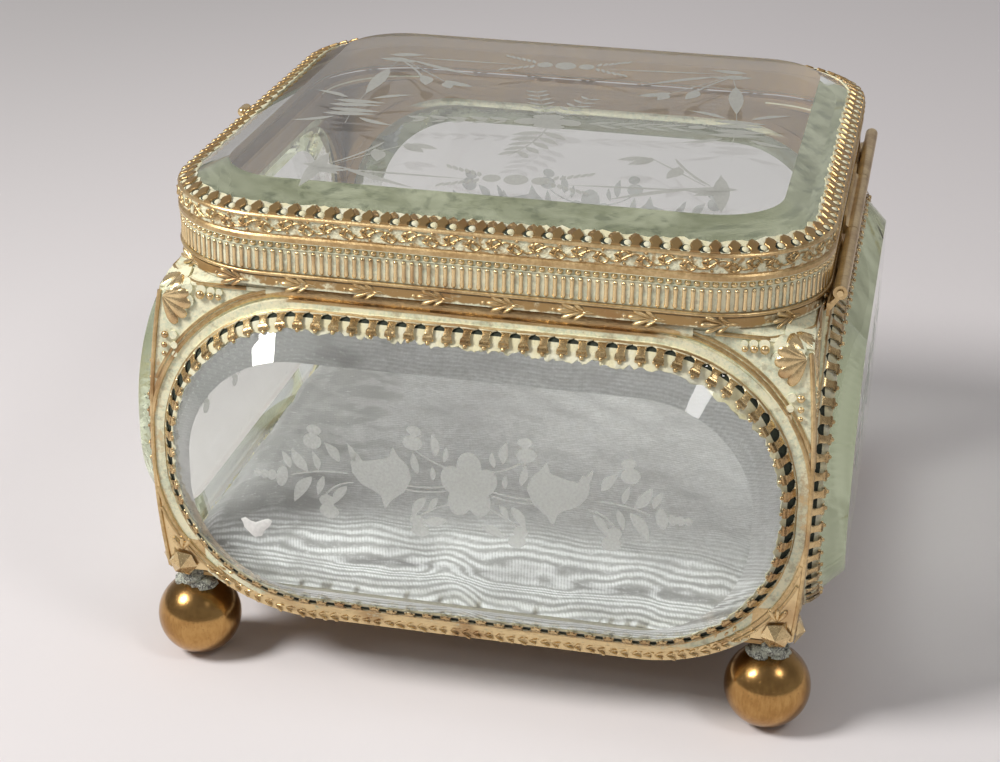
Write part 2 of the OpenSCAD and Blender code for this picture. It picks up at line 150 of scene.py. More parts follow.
# %% Node trees
class Nodes:
    """The node tree of a finish, a lamp or the room."""

    def __init__(self, tree):
        self.tree = tree

    def node(self, kind, settings=None, inputs=None):
        """Adds any node: its settings first, then the values or links of its sockets."""
        node = self.tree.nodes.new(kind)
        for key, value in (settings or {}).items():
            setattr(node, key, value)
        for key, value in (inputs or {}).items():
            self.plug(node.inputs[key], value)
        return node

    def plug(self, socket, value):
        """Links a term or another socket to this socket, or sets a plain value."""
        if isinstance(value, Term):
            value = value.socket
        if isinstance(value, bpy.types.NodeSocket):
            self.tree.links.new(value, socket)
        else:
            socket.default_value = value

    def number(self, kind, settings=None, inputs=None, output=0):
        return Term(self, self.node(kind, settings, inputs).outputs[output])

    def math(self, operation, *values):
        return self.number("ShaderNodeMath", {"operation": operation}, dict(enumerate(values)))


print("node tools ready")

# %% [markdown]
# A finish is a material that reads the piece's own coordinates in millimetres. Its
# noise is called speckle, and its size is the width of a blotch, as one would
# measure it on the metal.

# %% Finishes
class Finish(Nodes):
    """A material with its nodes."""

    def __init__(self, name):
        self.material = bpy.data.materials.new(name)
        self.material.use_nodes = True
        super().__init__(self.material.node_tree)
        self.tree.nodes.clear()

    def place(self):
        """The three coordinates of the piece, in millimetres."""
        coordinates = self.node("ShaderNodeTexCoord").outputs["Object"]
        grown = self.node("ShaderNodeVectorMath", {"operation": "SCALE"},
                          {0: coordinates, "Scale": 1 / MM})
        self.spot = grown.outputs[0]
        split = self.node("ShaderNodeSeparateXYZ", None, {0: self.spot})
        return [Term(self, split.outputs[i]) for i in range(3)]

    def speckle(self, size, detail=3.0, rough=0.55, stretch=None):
        """Noise from 0 to 1 whose blotches are about size millimetres wide."""
        spot = self.spot
        if stretch:
            spot = self.node("ShaderNodeVectorMath", {"operation": "MULTIPLY"},
                             {0: spot, 1: stretch}).outputs[0]
        inputs = {"Vector": spot, "Scale": 1.0 / size, "Detail": detail, "Roughness": rough}
        return self.number("ShaderNodeTexNoise", None, inputs, "Fac")

    def blend(self, mask, first, second):
        """first where the mask is 0, second where it is 1."""
        inputs = {0: mask, 6: first, 7: second}
        return self.node("ShaderNodeMix", {"data_type": "RGBA"}, inputs).outputs[2]

    def bump(self, height, depth, under=None):
        """Normal of a surface with this height; depth is in millimetres."""
        inputs = {"Height": height, "Distance": depth * MM, "Strength": 1.0}
        if under is not None:
            inputs["Normal"] = under
        return self.node("ShaderNodeBump", None, inputs).outputs[0]

    def close(self, **sockets):
        """Principled surface with the named sockets, straight to the output."""
        named = {key.replace("_", " ").title().replace("Ior", "IOR"): value
                 for key, value in sockets.items()}
        shader = self.node("ShaderNodeBsdfPrincipled", None, named)
        self.node("ShaderNodeOutputMaterial", None, {"Surface": shader.outputs[0]})
        return self.material


print("finish tools ready")

# %% [markdown]
# ## The gilding
# The brass was gilt, lacquered and handled for a century. Raised places are rubbed
# to bright gold, hollows keep a chalky cream-green patina. Pieces that are modelled
# here carry a "relief" attribute, 0 on the ground and 1 on the crest, and the
# finish reads it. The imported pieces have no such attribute, so their finish works
# out from their own coordinates where crests and hollows are.

# %% Gilt colours
GOLD_BRIGHT = (0.83, 0.64, 0.35, 1.0)
GOLD_DEEP = (0.43, 0.28, 0.12, 1.0)
GOLD_RED = (0.36, 0.19, 0.08, 1.0)
LACQUER_AND_SHADE_BROWN = (0.36, 0.24, 0.13, 1.0)
PATINA_CREAM = (0.83, 0.79, 0.56, 1.0)
PATINA_GREEN = (0.60, 0.64, 0.48, 1.0)
PATINA_BROWN = (0.34, 0.27, 0.15, 1.0)


def gild(finish, raised, bright=0.5, roughness=0.34, grain=0.05, under=None, dark=None):
    """Gold where raised is 1, patina where it is 0, both uneven as real ones are.

    Where dark is 1 the metal stays brown: partly old lacquer that handling never reached,
    and on modelled pieces partly painted shade where the relief meets its ground."""
    broad = finish.speckle(6.0, 3.0)
    fine = finish.speckle(0.7, 4.0, 0.65)
    pits = finish.speckle(0.28, 2.0)
    tone = (broad * 0.6 + fine * 0.5 + (bright - 0.55)).step(0.25, 0.75)
    gold = finish.blend(tone, GOLD_DEEP, GOLD_BRIGHT)
    gold = finish.blend(finish.speckle(9.0, 2.0).step(0.5, 0.7) * 0.6, gold, GOLD_RED)
    patina = finish.blend((fine * 0.7 + broad * 0.5).step(0.5, 0.75), PATINA_CREAM, PATINA_GREEN)
    stain = (finish.speckle(1.7, 4.0, 0.7) * 0.7 + broad * 0.35).step(0.53, 0.68)
    patina = finish.blend(stain * 0.55, patina, PATINA_BROWN)
    mask = (raised + (fine - 0.5) * 0.55 + (finish.speckle(3.2, 3.0) - 0.5) * 0.6).step(0.36, 0.6)
    colour = finish.blend(mask, patina, gold)
    dull = (1.0 - mask) * 0.45 + fine * 0.16 + (roughness - 0.08)
    if dark is not None:
        brown = finish.blend((broad * 0.7 + fine * 0.4).step(0.4, 0.75), LACQUER_AND_SHADE_BROWN, GOLD_DEEP)
        colour = finish.blend(dark, colour, brown)
        dull = dull + dark * 0.06
    height = fine * 0.6 + pits * 0.4
    normal = finish.bump(height, grain, under)
    return finish.close(base_color=colour, metallic=mask * 0.9, roughness=dull, normal=normal)


def relief_finish(name, bright=0.5, level=0.0, roughness=0.34, foot_lacquer_and_shade=0.0):
    """Reads the relief attribute; below 0 it marks a surface that faces inward.

    foot_lacquer_and_shade browns the low parts round each crest: partly old lacquer that
    handling never reached, partly painted shade where the relief meets its ground."""
    finish = Finish(name)
    finish.place()
    relief = finish.number("ShaderNodeAttribute", {"attribute_name": "relief"}, None, "Fac")
    dark = 1.0 - relief.step(-0.6, -0.3)
    # Painted shade, partly real lacquer: the low parts round each crest turn brown.
    shade = dark + (1.0 - relief.step(0.15, 0.6)) * foot_lacquer_and_shade
    return gild(finish, relief + level + dark * 1.6, bright, roughness, dark=shade.least(1.0))


gilt_relief = relief_finish("gilt_relief", 0.5, 0.1)
gilt_bright_relief = relief_finish("gilt_bright_relief", 0.6, 0.16, 0.26)
# The last number browns the low parts round each crest: painted shade, partly real lacquer.
gilt_claws = relief_finish("gilt_claws", 0.5, 0.05, 0.27, 0.35)
gilt_reeds = relief_finish("gilt_reeds", 0.8, 0.1, 0.24, 0.85)
gilt_teeth = relief_finish("gilt_teeth", 0.04, 0.2, 0.36, 0.5)
gilt_vine = relief_finish("gilt_vine", 0.42, 0.0, 0.37, 0.4)
print("gilt finishes for modelled pieces made")

# %% [markdown]
# The sides are one stamped sheet each. Their finish measures how far a point is
# from the edge of the window, so that the moulding round the glass, the patinated
# field and the rubbed strip underneath each get their own wear.

# %% Measures of the sides, repeated from the frame
SIDE_HALF = 61.9
BOW_R = 230.0
MID_Z = 46.8
CORNER_C = 39.1
SHOULDER_Z = 77.0
SHOULDER_R0 = 30.6
SHOULDER_R1 = 21.1
BAND_BOTTOM_Z = 81.4
WINDOW_W = 59.7
WINDOW_H = 30.7
WINDOW_R = 28.5
PANE_FRONT = 68.5
PANE_EDGE = 61.6
LID_PANE_EDGE = 94.9
LID_PANE_HALF = 60.8
LID_TOP = 99.0


print("windows are", 2 * WINDOW_W, "x", 2 * WINDOW_H, "mm")

# %% [markdown]
# A rounded corner is measured from its own centre: only what lies past the centre
# counts, so straight stretches and corners come out of the same sum.

# %% Distances that the finishes read
def corner_distance(across, up):
    """Length of the part of (across, up) that is positive, as round a rounded corner."""
    across, up = across.most(0.0), up.most(0.0)
    return (across * across + up * up).math("SQRT")


def window_distance(x, y, z):
    """Millimetres from the window's edge, for whichever side the point is on."""
    across = abs(x).least(abs(y)) - (WINDOW_W - WINDOW_R)
    return corner_distance(across, abs(z - MID_Z) - (WINDOW_H - WINDOW_R)) - WINDOW_R


def rim_distance(x, y):
    """Millimetres from the centre of the nearest rounded corner, measured outward."""
    return corner_distance(abs(x) - CORNER_C, abs(y) - CORNER_C)


print("distances ready")

# %% [markdown]
# In the sums of the sides, low is the strip at the foot, brow the band over the
# window, boss the corner over a foot, fold the edge to the next side, and inside
# the back of the sheet. Each is a soft step, and together they say what is rubbed.

# %% Finishes of the sides and the band
def side_finish():
    """Worn along the fold, the wires and the lower edge; patina in the field."""
    finish = Finish("stamped_sides")
    x, y, z = finish.place()
    gap = window_distance(x, y, z)
    out = abs(x).most(abs(y))
    across = abs(x).least(abs(y))
    low = 1.0 - z.step(15.5, 18.5)
    depth = out + (z - MID_Z) * (z - MID_Z) / (2.0 * BOW_R) - SIDE_HALF
    taper = (SHOULDER_R0 - SHOULDER_R1) / (BAND_BOTTOM_Z - SHOULDER_Z)
    cone = rim_distance(x, y) - (SHOULDER_R0 - (z - SHOULDER_Z) * taper)
    shoulder = z.step(76.9, 77.0) * across.step(CORNER_C - 0.1, CORNER_C)
    cone = (cone + 9.0) * shoulder - 9.0
    inside = 1.0 - depth.most(cone).step(-0.65, -0.45)
    fold = across.step(57.5, 60.5) * 0.3
    boss = (1.0 - z.step(26.5, 27.5)) * across.step(52.5, 53.5)
    wire = 1.0 - abs(gap - 2.5).step(0.3, 0.7)
    drift = finish.speckle(11.0, 2.0) - 0.5
    scratch = finish.speckle(1.1, 3.0, 0.6, (1.0, 1.0, 2.2))
    brow = z.step(77.8, 78.6) * gap.step(0.9, 1.3) * (1.0 - across.step(30.0, 40.0))
    rubbed = (1.0 - z.step(24.0, 62.0)) * gap.step(1.2, 2.4) * 0.34
    raised = (low * 0.62 + inside + wire * 0.4 + fold + boss * 0.9 + brow * 0.7 + rubbed
              + drift * 0.8 + (scratch - 0.5) * 1.1 * low + 0.1)
    normal = finish.bump(scratch * (low + brow * 0.6 + 0.12), 0.3)
    brown = inside + brow * 0.55
    bright = rubbed * 0.7 + low * 0.5 + 0.5
    return gild(finish, raised, bright, 0.3, 0.05, normal, brown.least(1.0))


def band_finish():
    """The band under the lid: brown gold, cream where dirt has held in corners."""
    finish = Finish("stamped_band")
    x, y, z = finish.place()
    inside = 1.0 - rim_distance(x, y).step(21.9, 22.0)
    raised = z.step(81.5, 82.0) * 0.25 + finish.speckle(4.0, 2.0) * 0.9 + inside - 0.05
    return gild(finish, raised, -0.02, 0.44, dark=inside)


stamped_sides = side_finish()
stamped_band = band_finish()
print("finishes of the sides made")

# %% [markdown]
# The lid's rim is read by its height, from the wire at its foot to the wall behind
# the vine. Whatever lies nearer the corner's centre than the rim's outside faces
# inward, and has kept its brown lacquer.

# %% Finishes of the lid's rim, the hinge and the feet
def rim_finish():
    """Gold on the wire and the fillet, cream on the wall under the teeth."""
    finish = Finish("lid_rim")
    x, y, z = finish.place()
    wire = 1.0 - z.step(84.2, 84.5)
    fillet = z.step(90.2, 90.4) * (1.0 - z.step(91.3, 91.9))
    inside = 1.0 - rim_distance(x, y).step(22.02, 22.12)
    wall = z.step(91.3, 91.9)
    raised = wire + fillet * 0.75 + inside + wall * (finish.speckle(1.3, 3.0) - 0.24) + 0.14
    scrolls = finish.speckle(0.8, 2.0, 0.6, (1.0, 1.0, 1.3)) * wall
    return gild(finish, raised, 0.44, 0.36, 0.05, finish.bump(scrolls, 0.35), inside)


def plain_gilt(name, bright, roughness, red=0.0):
    """Handled brass without ornament: hinge, pin, inside plate, thumb-piece."""
    finish = Finish(name)
    finish.place()
    wear = finish.speckle(2.5, 3.0)
    return gild(finish, wear * 0.7 + 0.55 - red, bright, roughness)


def ball_finish():
    """Polished balls: scratched gold, painted dark reflection round the top, pin-prick spots."""
    finish = Finish("ball_gilding")
    z = finish.place()[2]
    broad = finish.speckle(5.0, 3.0)
    fine = finish.speckle(0.6, 3.0, 0.6, (1.0, 1.0, 0.3))
    spots = finish.speckle(0.35, 1.0).step(0.66, 0.74)
    colour = finish.blend((broad * 0.7 + fine * 0.4).step(0.4, 0.72),
                          (0.54, 0.32, 0.115, 1.0), (0.38, 0.205, 0.068, 1.0))
    # Painted reflection: the top is painted dark brown for the dim room that it mirrors.
    top = (z + broad * 3.0).step(12.5, 16.5)
    colour = finish.blend(top * 0.7, colour, (0.20, 0.115, 0.042, 1.0))
    colour = finish.blend(spots * 0.6, colour, (0.30, 0.17, 0.07, 1.0))
    normal = finish.bump(fine * 0.5 + spots * 0.3, 0.035)
    return finish.close(base_color=colour, metallic=1.0, roughness=fine * 0.1 + top * 0.08 + 0.12,
                        normal=normal)


def solder_finish():
    """Old soft solder, grey with green and white bloom."""
    finish = Finish("old_solder")
    finish.place()
    broad = finish.speckle(1.4, 3.0)
    fine = finish.speckle(0.35, 4.0, 0.7)
    colour = finish.blend(broad.step(0.42, 0.6), (0.13, 0.13, 0.12, 1.0), (0.44, 0.46, 0.38, 1.0))
    colour = finish.blend(fine.step(0.47, 0.6), colour, (0.68, 0.70, 0.60, 1.0))
    return finish.close(base_color=colour, metallic=0.25, roughness=fine * 0.3 + 0.45,
                        normal=finish.bump(fine + broad, 0.25))


lid_rim = rim_finish()
handled_brass = plain_gilt("handled_brass", 0.5, 0.32)
bright_brass = plain_gilt("bright_brass", 0.65, 0.26)
inner_plate = plain_gilt("inner_plate", 0.3, 0.45, 0.2)
ball_gilding = ball_finish()
old_solder = solder_finish()
print("finishes of the rim, hinge and feet made")

# %% [markdown]
# ## Glass, cement and card
# The panes are thick plates with a faint green tint that only shows through their
# edges, so the tint is inside the glass as absorption. For shadow rays the glass is
# an even, slightly grey veil, which keeps its shadow soft and free of noise. Light
# that is caught in a bevel ends on a painted reflection: a milky, mottled surface
# lit by the lamps, with painted dark blotches on the lid and a faint painted glow
# on the side panes.

# %% Glass of the panes
CAUGHT_TURNS = 2.5
CAUGHT_DEPTH = 8.5


def glass_finish():
    """Clear glass; a ray that is caught inside a pane ends on a painted, mottled reflection.

    The thick bevels turn part of the light away, so a pane leaves some shadow."""
    finish = Finish("pane_glass_clear")
    glass = finish.node("ShaderNodeBsdfPrincipled", None, {
        "Base Color": (0.98, 0.99, 0.98, 1.0), "Roughness": 0.0, "IOR": 1.5,
        "Transmission Weight": 1.0})
    veil = finish.node("ShaderNodeBsdfTransparent", None, {"Color": (0.56, 0.57, 0.56, 1.0)})
    ray = finish.node("ShaderNodeLightPath")
    shadow, turns, depth = (Term(finish, ray.outputs[name]) for name in
                            ("Is Shadow Ray", "Glossy Depth", "Ray Depth"))
    lid = finish.place()[2].step(86.0, 90.0)
    cloud = finish.speckle(7.0, 3.0, 0.5, (1.0, 1.0, 0.4)) * 0.8 + finish.speckle(2.2, 2.0) * 0.3
    # Painted reflection: a caught ray ends on this milky, mottled colour, lit by the lamps.
    bloom = finish.blend(cloud.step(0.38, 0.72), (0.62, 0.63, 0.53, 1.0), (0.97, 0.97, 0.89, 1.0))
    # Painted dark reflections: blotches on the lid's bevels.
    painted_dark_blots = finish.speckle(3.4, 4.0, 0.65).step(0.5, 0.62)
    bloom = finish.blend(lid * (painted_dark_blots * 0.4 + 0.02), bloom, (0.20, 0.23, 0.20, 1.0))
    # Painted glow: on the side panes the caught rays also give a faint light of their own.
    painted_glow = finish.blend(lid, (1.0, 0.99, 0.82, 1.0), (0.0, 0.0, 0.0, 1.0))
    painted_reflection = finish.node("ShaderNodeBsdfPrincipled", None, {
        "Base Color": bloom, "Roughness": 1.0, "Specular IOR Level": 0.0,
        "Emission Color": painted_glow, "Emission Strength": 0.035})
    lost = finish.node("ShaderNodeMixShader", None,
                       {0: shadow, 1: painted_reflection.outputs[0], 2: veil.outputs[0]})
    caught = (turns.math("GREATER_THAN", CAUGHT_TURNS) + depth.math("GREATER_THAN", CAUGHT_DEPTH)
              + shadow)
    pane = finish.node("ShaderNodeMixShader", None,
                       {0: caught.least(1.0), 1: glass.outputs[0], 2: lost.outputs[0]})
    tint = finish.node("ShaderNodeVolumeAbsorption", None,
                       {"Color": (0.72, 0.80, 0.68, 1.0), "Density": 4.5})
    finish.node("ShaderNodeOutputMaterial", None,
                {"Surface": pane.outputs[0], "Volume": tint.outputs[0]})
    return finish.material


pane_glass = glass_finish()
print("pane glass made,", len(pane_glass.node_tree.nodes), "nodes")

# %% [markdown]
# Where the wheel cut the glass it is matt and white, and lets part of the light
# through. The claws and teeth sit in a cream cement that was brushed on by hand.

# %% Wheel-cut glass, cement and card
def cut_finish(name, colour, cover):
    """Wheel-cut glass: a white, matt, half-clear bloom."""
    finish = Finish(name)
    finish.place()
    fine = finish.speckle(0.5, 3.0, 0.6, (1.0, 0.4, 1.0))
    return finish.close(base_color=colour, roughness=0.7, alpha=fine * 0.3 + cover)


def cement_finish():
    """Cream cement, lumpy, with greenish dirt in it."""
    finish = Finish("cream_cement")
    finish.place()
    broad = finish.speckle(3.0, 3.0)
    fine = finish.speckle(0.4, 4.0, 0.7)
    colour = finish.blend(broad.step(0.4, 0.65), (0.72, 0.67, 0.44, 1.0), (0.72, 0.70, 0.54, 1.0))
    colour = finish.blend(fine.step(0.58, 0.75) * 0.8, colour, (0.38, 0.41, 0.27, 1.0))
    return finish.close(base_color=colour, roughness=0.85,
                        normal=finish.bump(fine + broad * 0.6, 0.2))


def flat_finish(name, colour, second, size, roughness, depth):
    """Two close colours in a grain of one size."""
    finish = Finish(name)
    finish.place()
    grain = finish.speckle(size, 3.0)
    return finish.close(base_color=finish.blend(grain.step(0.35, 0.65), colour, second),
                        roughness=grain * 0.1 + roughness, normal=finish.bump(grain, depth))


wheel_cut = cut_finish("wheel_cut", (0.55, 0.565, 0.53, 1.0), 0.42)
# Painted shade: the lid's cuts are a darker grey than the panes', because the lid faces the lamps.
shaded_lid_cut = cut_finish("wheel_cut_lid_shaded", (0.38, 0.38, 0.35, 1.0), 0.74)
cream_cement = cement_finish()
grey_card = flat_finish("grey_card", (0.45, 0.43, 0.37, 1.0), (0.52, 0.50, 0.43, 1.0),
                        0.8, 0.85, 0.1)
# Painted shadow: a near-black finish for gaps and holes where only shade is seen.
painted_shadow = flat_finish("painted_shadow", (0.012, 0.016, 0.010, 1.0), (0.03, 0.04, 0.025, 1.0),
                       0.6, 0.8, 0.05)
print("engraving, cement and card made")

# %% [markdown]
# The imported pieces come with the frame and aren't remade. Each gets the finish of
# its metal, glass or card.

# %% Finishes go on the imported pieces
def dress(finish, *names):
    """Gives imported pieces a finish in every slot."""
    for name in names:
        mesh = nodes[name].data
        if not mesh.materials:
            mesh.materials.append(finish)
        for i in range(len(mesh.materials)):
            mesh.materials[i] = finish


SIDES = ("front", "right", "back", "left")
CORNERS = ("front_left", "front_right", "back_left", "back_right")
dress(stamped_sides, *("frame_" + side for side in SIDES))
dress(stamped_band, "top_band")
dress(pane_glass, "lid_glass", *("glass_" + side for side in SIDES))
dress(bright_brass, "thumb_piece", "hinge_pin", *("gallery_" + side for side in SIDES))
dress(inner_plate, "floor_plate")
dress(grey_card, "cushion_card")
dress(ball_gilding, *("foot_" + corner for corner in CORNERS))
dress(old_solder, *("collar_" + corner for corner in CORNERS))
dress(handled_brass, "hinge_body_leaf", "hinge_lid_leaf")
dress(lid_rim, "lid_gallery", "lid_bead_wire", "lid_reeded_band")
print("packed pieces dressed:", sum(bool(piece.data.materials) for piece in nodes.values()))

# %% [markdown]
# ## Tools for modelling
# Operators act on what is selected, so each helper first picks one piece, and then
# faces, edges or points by their place.

# %% Picking
def take_up(piece):
    """Selects one piece alone and makes it active."""
    bpy.ops.object.select_all(action="DESELECT")
    piece.select_set(True)
    bpy.context.view_layer.objects.active = piece
    return piece


def choose(piece, kind="FACE", test=lambda part: True):
    """Edit mode with only the faces, edges or points that pass the test selected."""
    take_up(piece)
    bpy.ops.object.mode_set(mode="EDIT")
    bpy.ops.mesh.select_mode(type=kind)
    bpy.ops.mesh.select_all(action="DESELECT")
    bpy.ops.object.mode_set(mode="OBJECT")
    mesh = piece.data
    parts = {"FACE": mesh.polygons, "EDGE": mesh.edges, "VERT": mesh.vertices}[kind]
    for part in parts:
        part.select = test(part)
    bpy.ops.object.mode_set(mode="EDIT")


def leave_edit():
    bpy.ops.object.mode_set(mode="OBJECT")


def extrude(*move):
    """Draws the selection out by (x, y, z)."""
    bpy.ops.mesh.extrude_region_move(TRANSFORM_OT_translate={"value": move})


def face_outward(piece):
    """Recalculates the normals of a closed piece, so that all faces look out."""
    choose(piece)
    bpy.ops.mesh.normals_make_consistent(inside=False)
    leave_edit()


print("picking tools ready")

# %% [markdown]
# A new primitive is only a start. What repeats is modelled once and copied, each
# copy with its own mesh, and the copies are joined, which keeps the list of pieces
# short.

# %% Making, copying and joining
def fresh(add, **settings):
    """A new primitive, alone selected, with its scale applied."""
    bpy.ops.object.select_all(action="DESELECT")
    add(**settings)
    piece = bpy.context.object
    bpy.ops.object.transform_apply(location=True, rotation=True, scale=True)
    return piece


def apply_all(piece):
    """Applies a piece's modifiers in their order."""
    take_up(piece)
    for modifier in list(piece.modifiers):
        bpy.ops.object.modifier_apply(modifier=modifier.name)
    return piece


def copy_to(piece, place):
    """A copy with its own mesh, moved by a matrix."""
    twin = piece.copy()
    twin.data = piece.data.copy()
    bpy.context.scene.collection.objects.link(twin)
    twin.data.transform(place)
    return twin


def join(pieces):
    """Makes one piece of several; it takes the place of the first."""
    bpy.ops.object.select_all(action="DESELECT")
    for piece in pieces:
        piece.select_set(True)
    bpy.context.view_layer.objects.active = pieces[0]
    if len(pieces) > 1:
        bpy.ops.object.join()
    return bpy.context.view_layer.objects.active


def drop(*pieces):
    for piece in pieces:
        bpy.data.objects.remove(piece)


print("copying tools ready")

# %% [markdown]
# Relief is written while a piece still lies flat, because its own heights then say
# how far each point stands out. A finished piece is settled: its place goes into
# its mesh, millimetres become metres, and it rides on the body or the lid.

# %% Placing, relief and settling
def quarter(number):
    """Quarter turns about the box's upright middle line."""
    return Matrix.Rotation(math.radians(90 * number), 4, "Z")


def ramp(value, low, high):
    """0 up to low, 1 from high on, and a straight rise between."""
    return min(max((value - low) / (high - low), 0.0), 1.0)


def placed(spot, turn=0.0, size=(1.0, 1.0, 1.0)):
    """Scaled first, then turned by degrees in its own plane, then moved."""
    return (Matrix.Translation(spot) @ Matrix.Rotation(math.radians(turn), 4, "Z")
            @ Matrix.Diagonal((*size, 1.0)))


def write_relief(piece, measure):
    """Writes the relief attribute by a measure of each point."""
    relief = piece.data.attributes.new("relief", "FLOAT", "POINT")
    for point, value in zip(piece.data.vertices, relief.data):
        value.value = measure(point.co)
    return piece


def mark_relief(piece, low, high, axis=2):
    """Relief from a piece's own heights."""
    return write_relief(piece, lambda spot: ramp(spot[axis], low, high))


def settle(piece, name, finish, body, angle=40.0):
    """Finishes a piece: metres, one material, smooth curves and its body."""
    take_up(piece)
    bpy.ops.object.transform_apply(location=True, rotation=True, scale=True)
    piece.data.transform(Matrix.Scale(MM, 4))
    piece.data.materials.clear()
    piece.data.materials.append(finish)
    piece.name = piece.data.name = name
    bpy.ops.object.shade_smooth_by_angle(angle=math.radians(angle))
    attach(piece, body)
    print(name, len(piece.data.polygons), "faces")
    return piece


def on_side(number):
    """Flat (across, up, out) of a side, measured from the window's middle, to the box."""
    stood_up = Matrix.Rotation(math.radians(90), 4, "X")
    return quarter(number) @ Matrix.Translation((0, 0, MID_Z)) @ stood_up


def four_sides(piece, name, finish, angle=40.0):
    """Settles a copy of a flat-made piece on each side of the body, then drops it."""
    for number, side in enumerate(SIDES):
        settle(copy_to(piece, on_side(number)), name + "_" + side, finish, "body", angle)
    drop(piece)


print("modelling tools ready")

# %% [markdown]
# ## Rings round a window
# Every ring starts as a plane with rounded corners. Insets that also rise or sink
# trace its section from the outside in, and then the middle face is deleted.

# %% Rounded plates and rings
def face_up(plate):
    """Turns a single face over if it looks down."""
    if plate.data.polygons[0].normal.z < 0:
        plate.data.flip_normals()
    return plate


def rounded_plate(half_w, half_h, radius, out, segments=14, step=1.6):
    """One face with rounded corners; its straight edges are cut about every step."""
    plate = fresh(bpy.ops.mesh.primitive_plane_add, size=2.0)
    plate.data.transform(Matrix.Diagonal((half_w, half_h, 1.0, 1.0)))
    choose(plate, "VERT")
    bpy.ops.mesh.bevel(offset=radius, offset_type="ABSOLUTE", segments=segments, affect="VERTICES")
    bpy.ops.mesh.delete(type="ONLY_FACE")
    for half, axis in ((half_w - radius, 0), (half_h - radius, 1)):
        cuts = int(2 * half / step)
        if cuts < 1:
            continue
        leave_edit()

        def straight(edge):
            a, b = (plate.data.vertices[i].co for i in edge.vertices)
            return abs(a[axis] - b[axis]) > 1.9 * half and abs(a[1 - axis] - b[1 - axis]) < 0.01

        choose(plate, "EDGE", straight)
        bpy.ops.mesh.subdivide(number_cuts=cuts)
    bpy.ops.mesh.select_all(action="SELECT")
    bpy.ops.mesh.edge_face_add()
    leave_edit()
    plate.data.transform(Matrix.Translation((0, 0, out)))
    return face_up(plate)


def ring_from(plate, steps, closed=True):
    """Insets (width, rise) one after the other; the middle is then opened."""
    choose(plate)
    for width, rise in steps:
        bpy.ops.mesh.inset(thickness=width, depth=rise, use_even_offset=True)
    bpy.ops.mesh.delete(type="FACE")
    if closed:
        bpy.ops.mesh.select_mode(type="EDGE")
        bpy.ops.mesh.select_all(action="DESELECT")
        bpy.ops.mesh.select_non_manifold(extend=False)
        bpy.ops.mesh.bridge_edge_loops()
    leave_edit()
    return plate


def past_corner(spot, start_x, start_y):
    """How far a point lies beyond (start_x, start_y) towards its own corner."""
    return max(abs(spot.x) - start_x, 0.0), max(abs(spot.y) - start_y, 0.0)


def from_corner(spot, past_x, past_y):
    """Direction from the centre of a rounded corner to a point past it."""
    return Vector((math.copysign(past_x, spot.x), math.copysign(past_y, spot.y), 0)).normalized()


print("ring tools ready")

# %% [markdown]
# The stamped sheet of a side is bowed, and folds over into the shoulder at the top
# corners. Reliefs are made flat first and then laid on this skin, point by point.

# %% Skin of a side
def skin(across, up):
    """Distance of the stamped surface from the box's middle plane."""
    z = up + MID_Z
    bow = SIDE_HALF - BOW_R + math.sqrt(BOW_R ** 2 - up ** 2)
    past = abs(across) - CORNER_C
    if z > SHOULDER_Z and past > 0:
        share = (z - SHOULDER_Z) / (BAND_BOTTOM_Z - SHOULDER_Z)
        radius = SHOULDER_R0 + (SHOULDER_R1 - SHOULDER_R0) * share
        bow = min(bow, CORNER_C + math.sqrt(max(radius ** 2 - past ** 2, 0.0)))
    return bow


def drape(piece):
    """Lays a relief that was made flat on the stamped surface of a side."""
    tiny = 0.05
    for point in piece.data.vertices:
        across, up, height = point.co
        base = skin(across, up)
        lean = Vector(((skin(across - tiny, up) - skin(across + tiny, up)) / (2 * tiny),
                       (skin(across, up - tiny) - skin(across, up + tiny)) / (2 * tiny), 1.0))
        point.co = Vector((across, up, base)) + lean.normalized() * height
    return piece


def wire_along(points, radius, sides=2):
    """A round wire through the points, as a mesh."""
    data = bpy.data.curves.new("wire", "CURVE")
    data.dimensions = "3D"
    spline = data.splines.new("POLY")
    spline.points.add(len(points) - 1)
    for spot, point in zip(spline.points, points):
        spot.co = (*point, 1.0)
    data.bevel_depth = radius
    data.bevel_resolution = sides
    data.use_fill_caps = True
    wire = bpy.data.objects.new("wire", data)
    bpy.context.scene.collection.objects.link(wire)
    take_up(wire)
    bpy.ops.object.convert(target="MESH")
    return bpy.context.object


def window_path(offset, step_deg=4.0):
    """Points (across, up) round the window, offset outward, in order."""
    radius = WINDOW_R + offset
    points = []
    for corner, (sx, sy) in enumerate(((1, 1), (-1, 1), (-1, -1), (1, -1))):
        for k in range(int(90 / step_deg) + 1):
            angle = math.radians(corner * 90 + k * step_deg)
            points.append((sx * (WINDOW_W - WINDOW_R) + radius * math.cos(angle),
                           sy * (WINDOW_H - WINDOW_R) + radius * math.sin(angle)))
    return points


def within_fold(across, up, margin=0.0):
    """Whether a place is on this side's sheet, and not past the fold."""
    return abs(across) <= skin(across, up) - margin


print("skin at the window's side:", round(skin(60.0, 0.0), 2))

# %% [markdown]
# ## Mouldings of the sides
# Two fine wires follow the window and run out on the corner ridge. A third one
# follows the shoulder. They are curves with a round section, laid on the skin.

# %% Window wires and shoulder wires
def runs(points, margin):
    """Splits a closed path into the stretches that lie on the stamped sheet."""
    keep = [within_fold(u, v, margin) for u, v in points]
    start = keep.index(False) if False in keep else 0
    stretches, current = [], []
    for k in range(len(points)):
        i = (start + k) % len(points)
        if keep[i]:
            current.append(points[i])
        elif current:
            stretches.append(current)
            current = []
    if current:
        stretches.append(current)
    return [s for s in stretches if len(s) > 2]


def on_skin(points, height):
    """Raises a path to a height over the skin."""
    return [(u, v, skin(u, v) + height) for u, v in points]


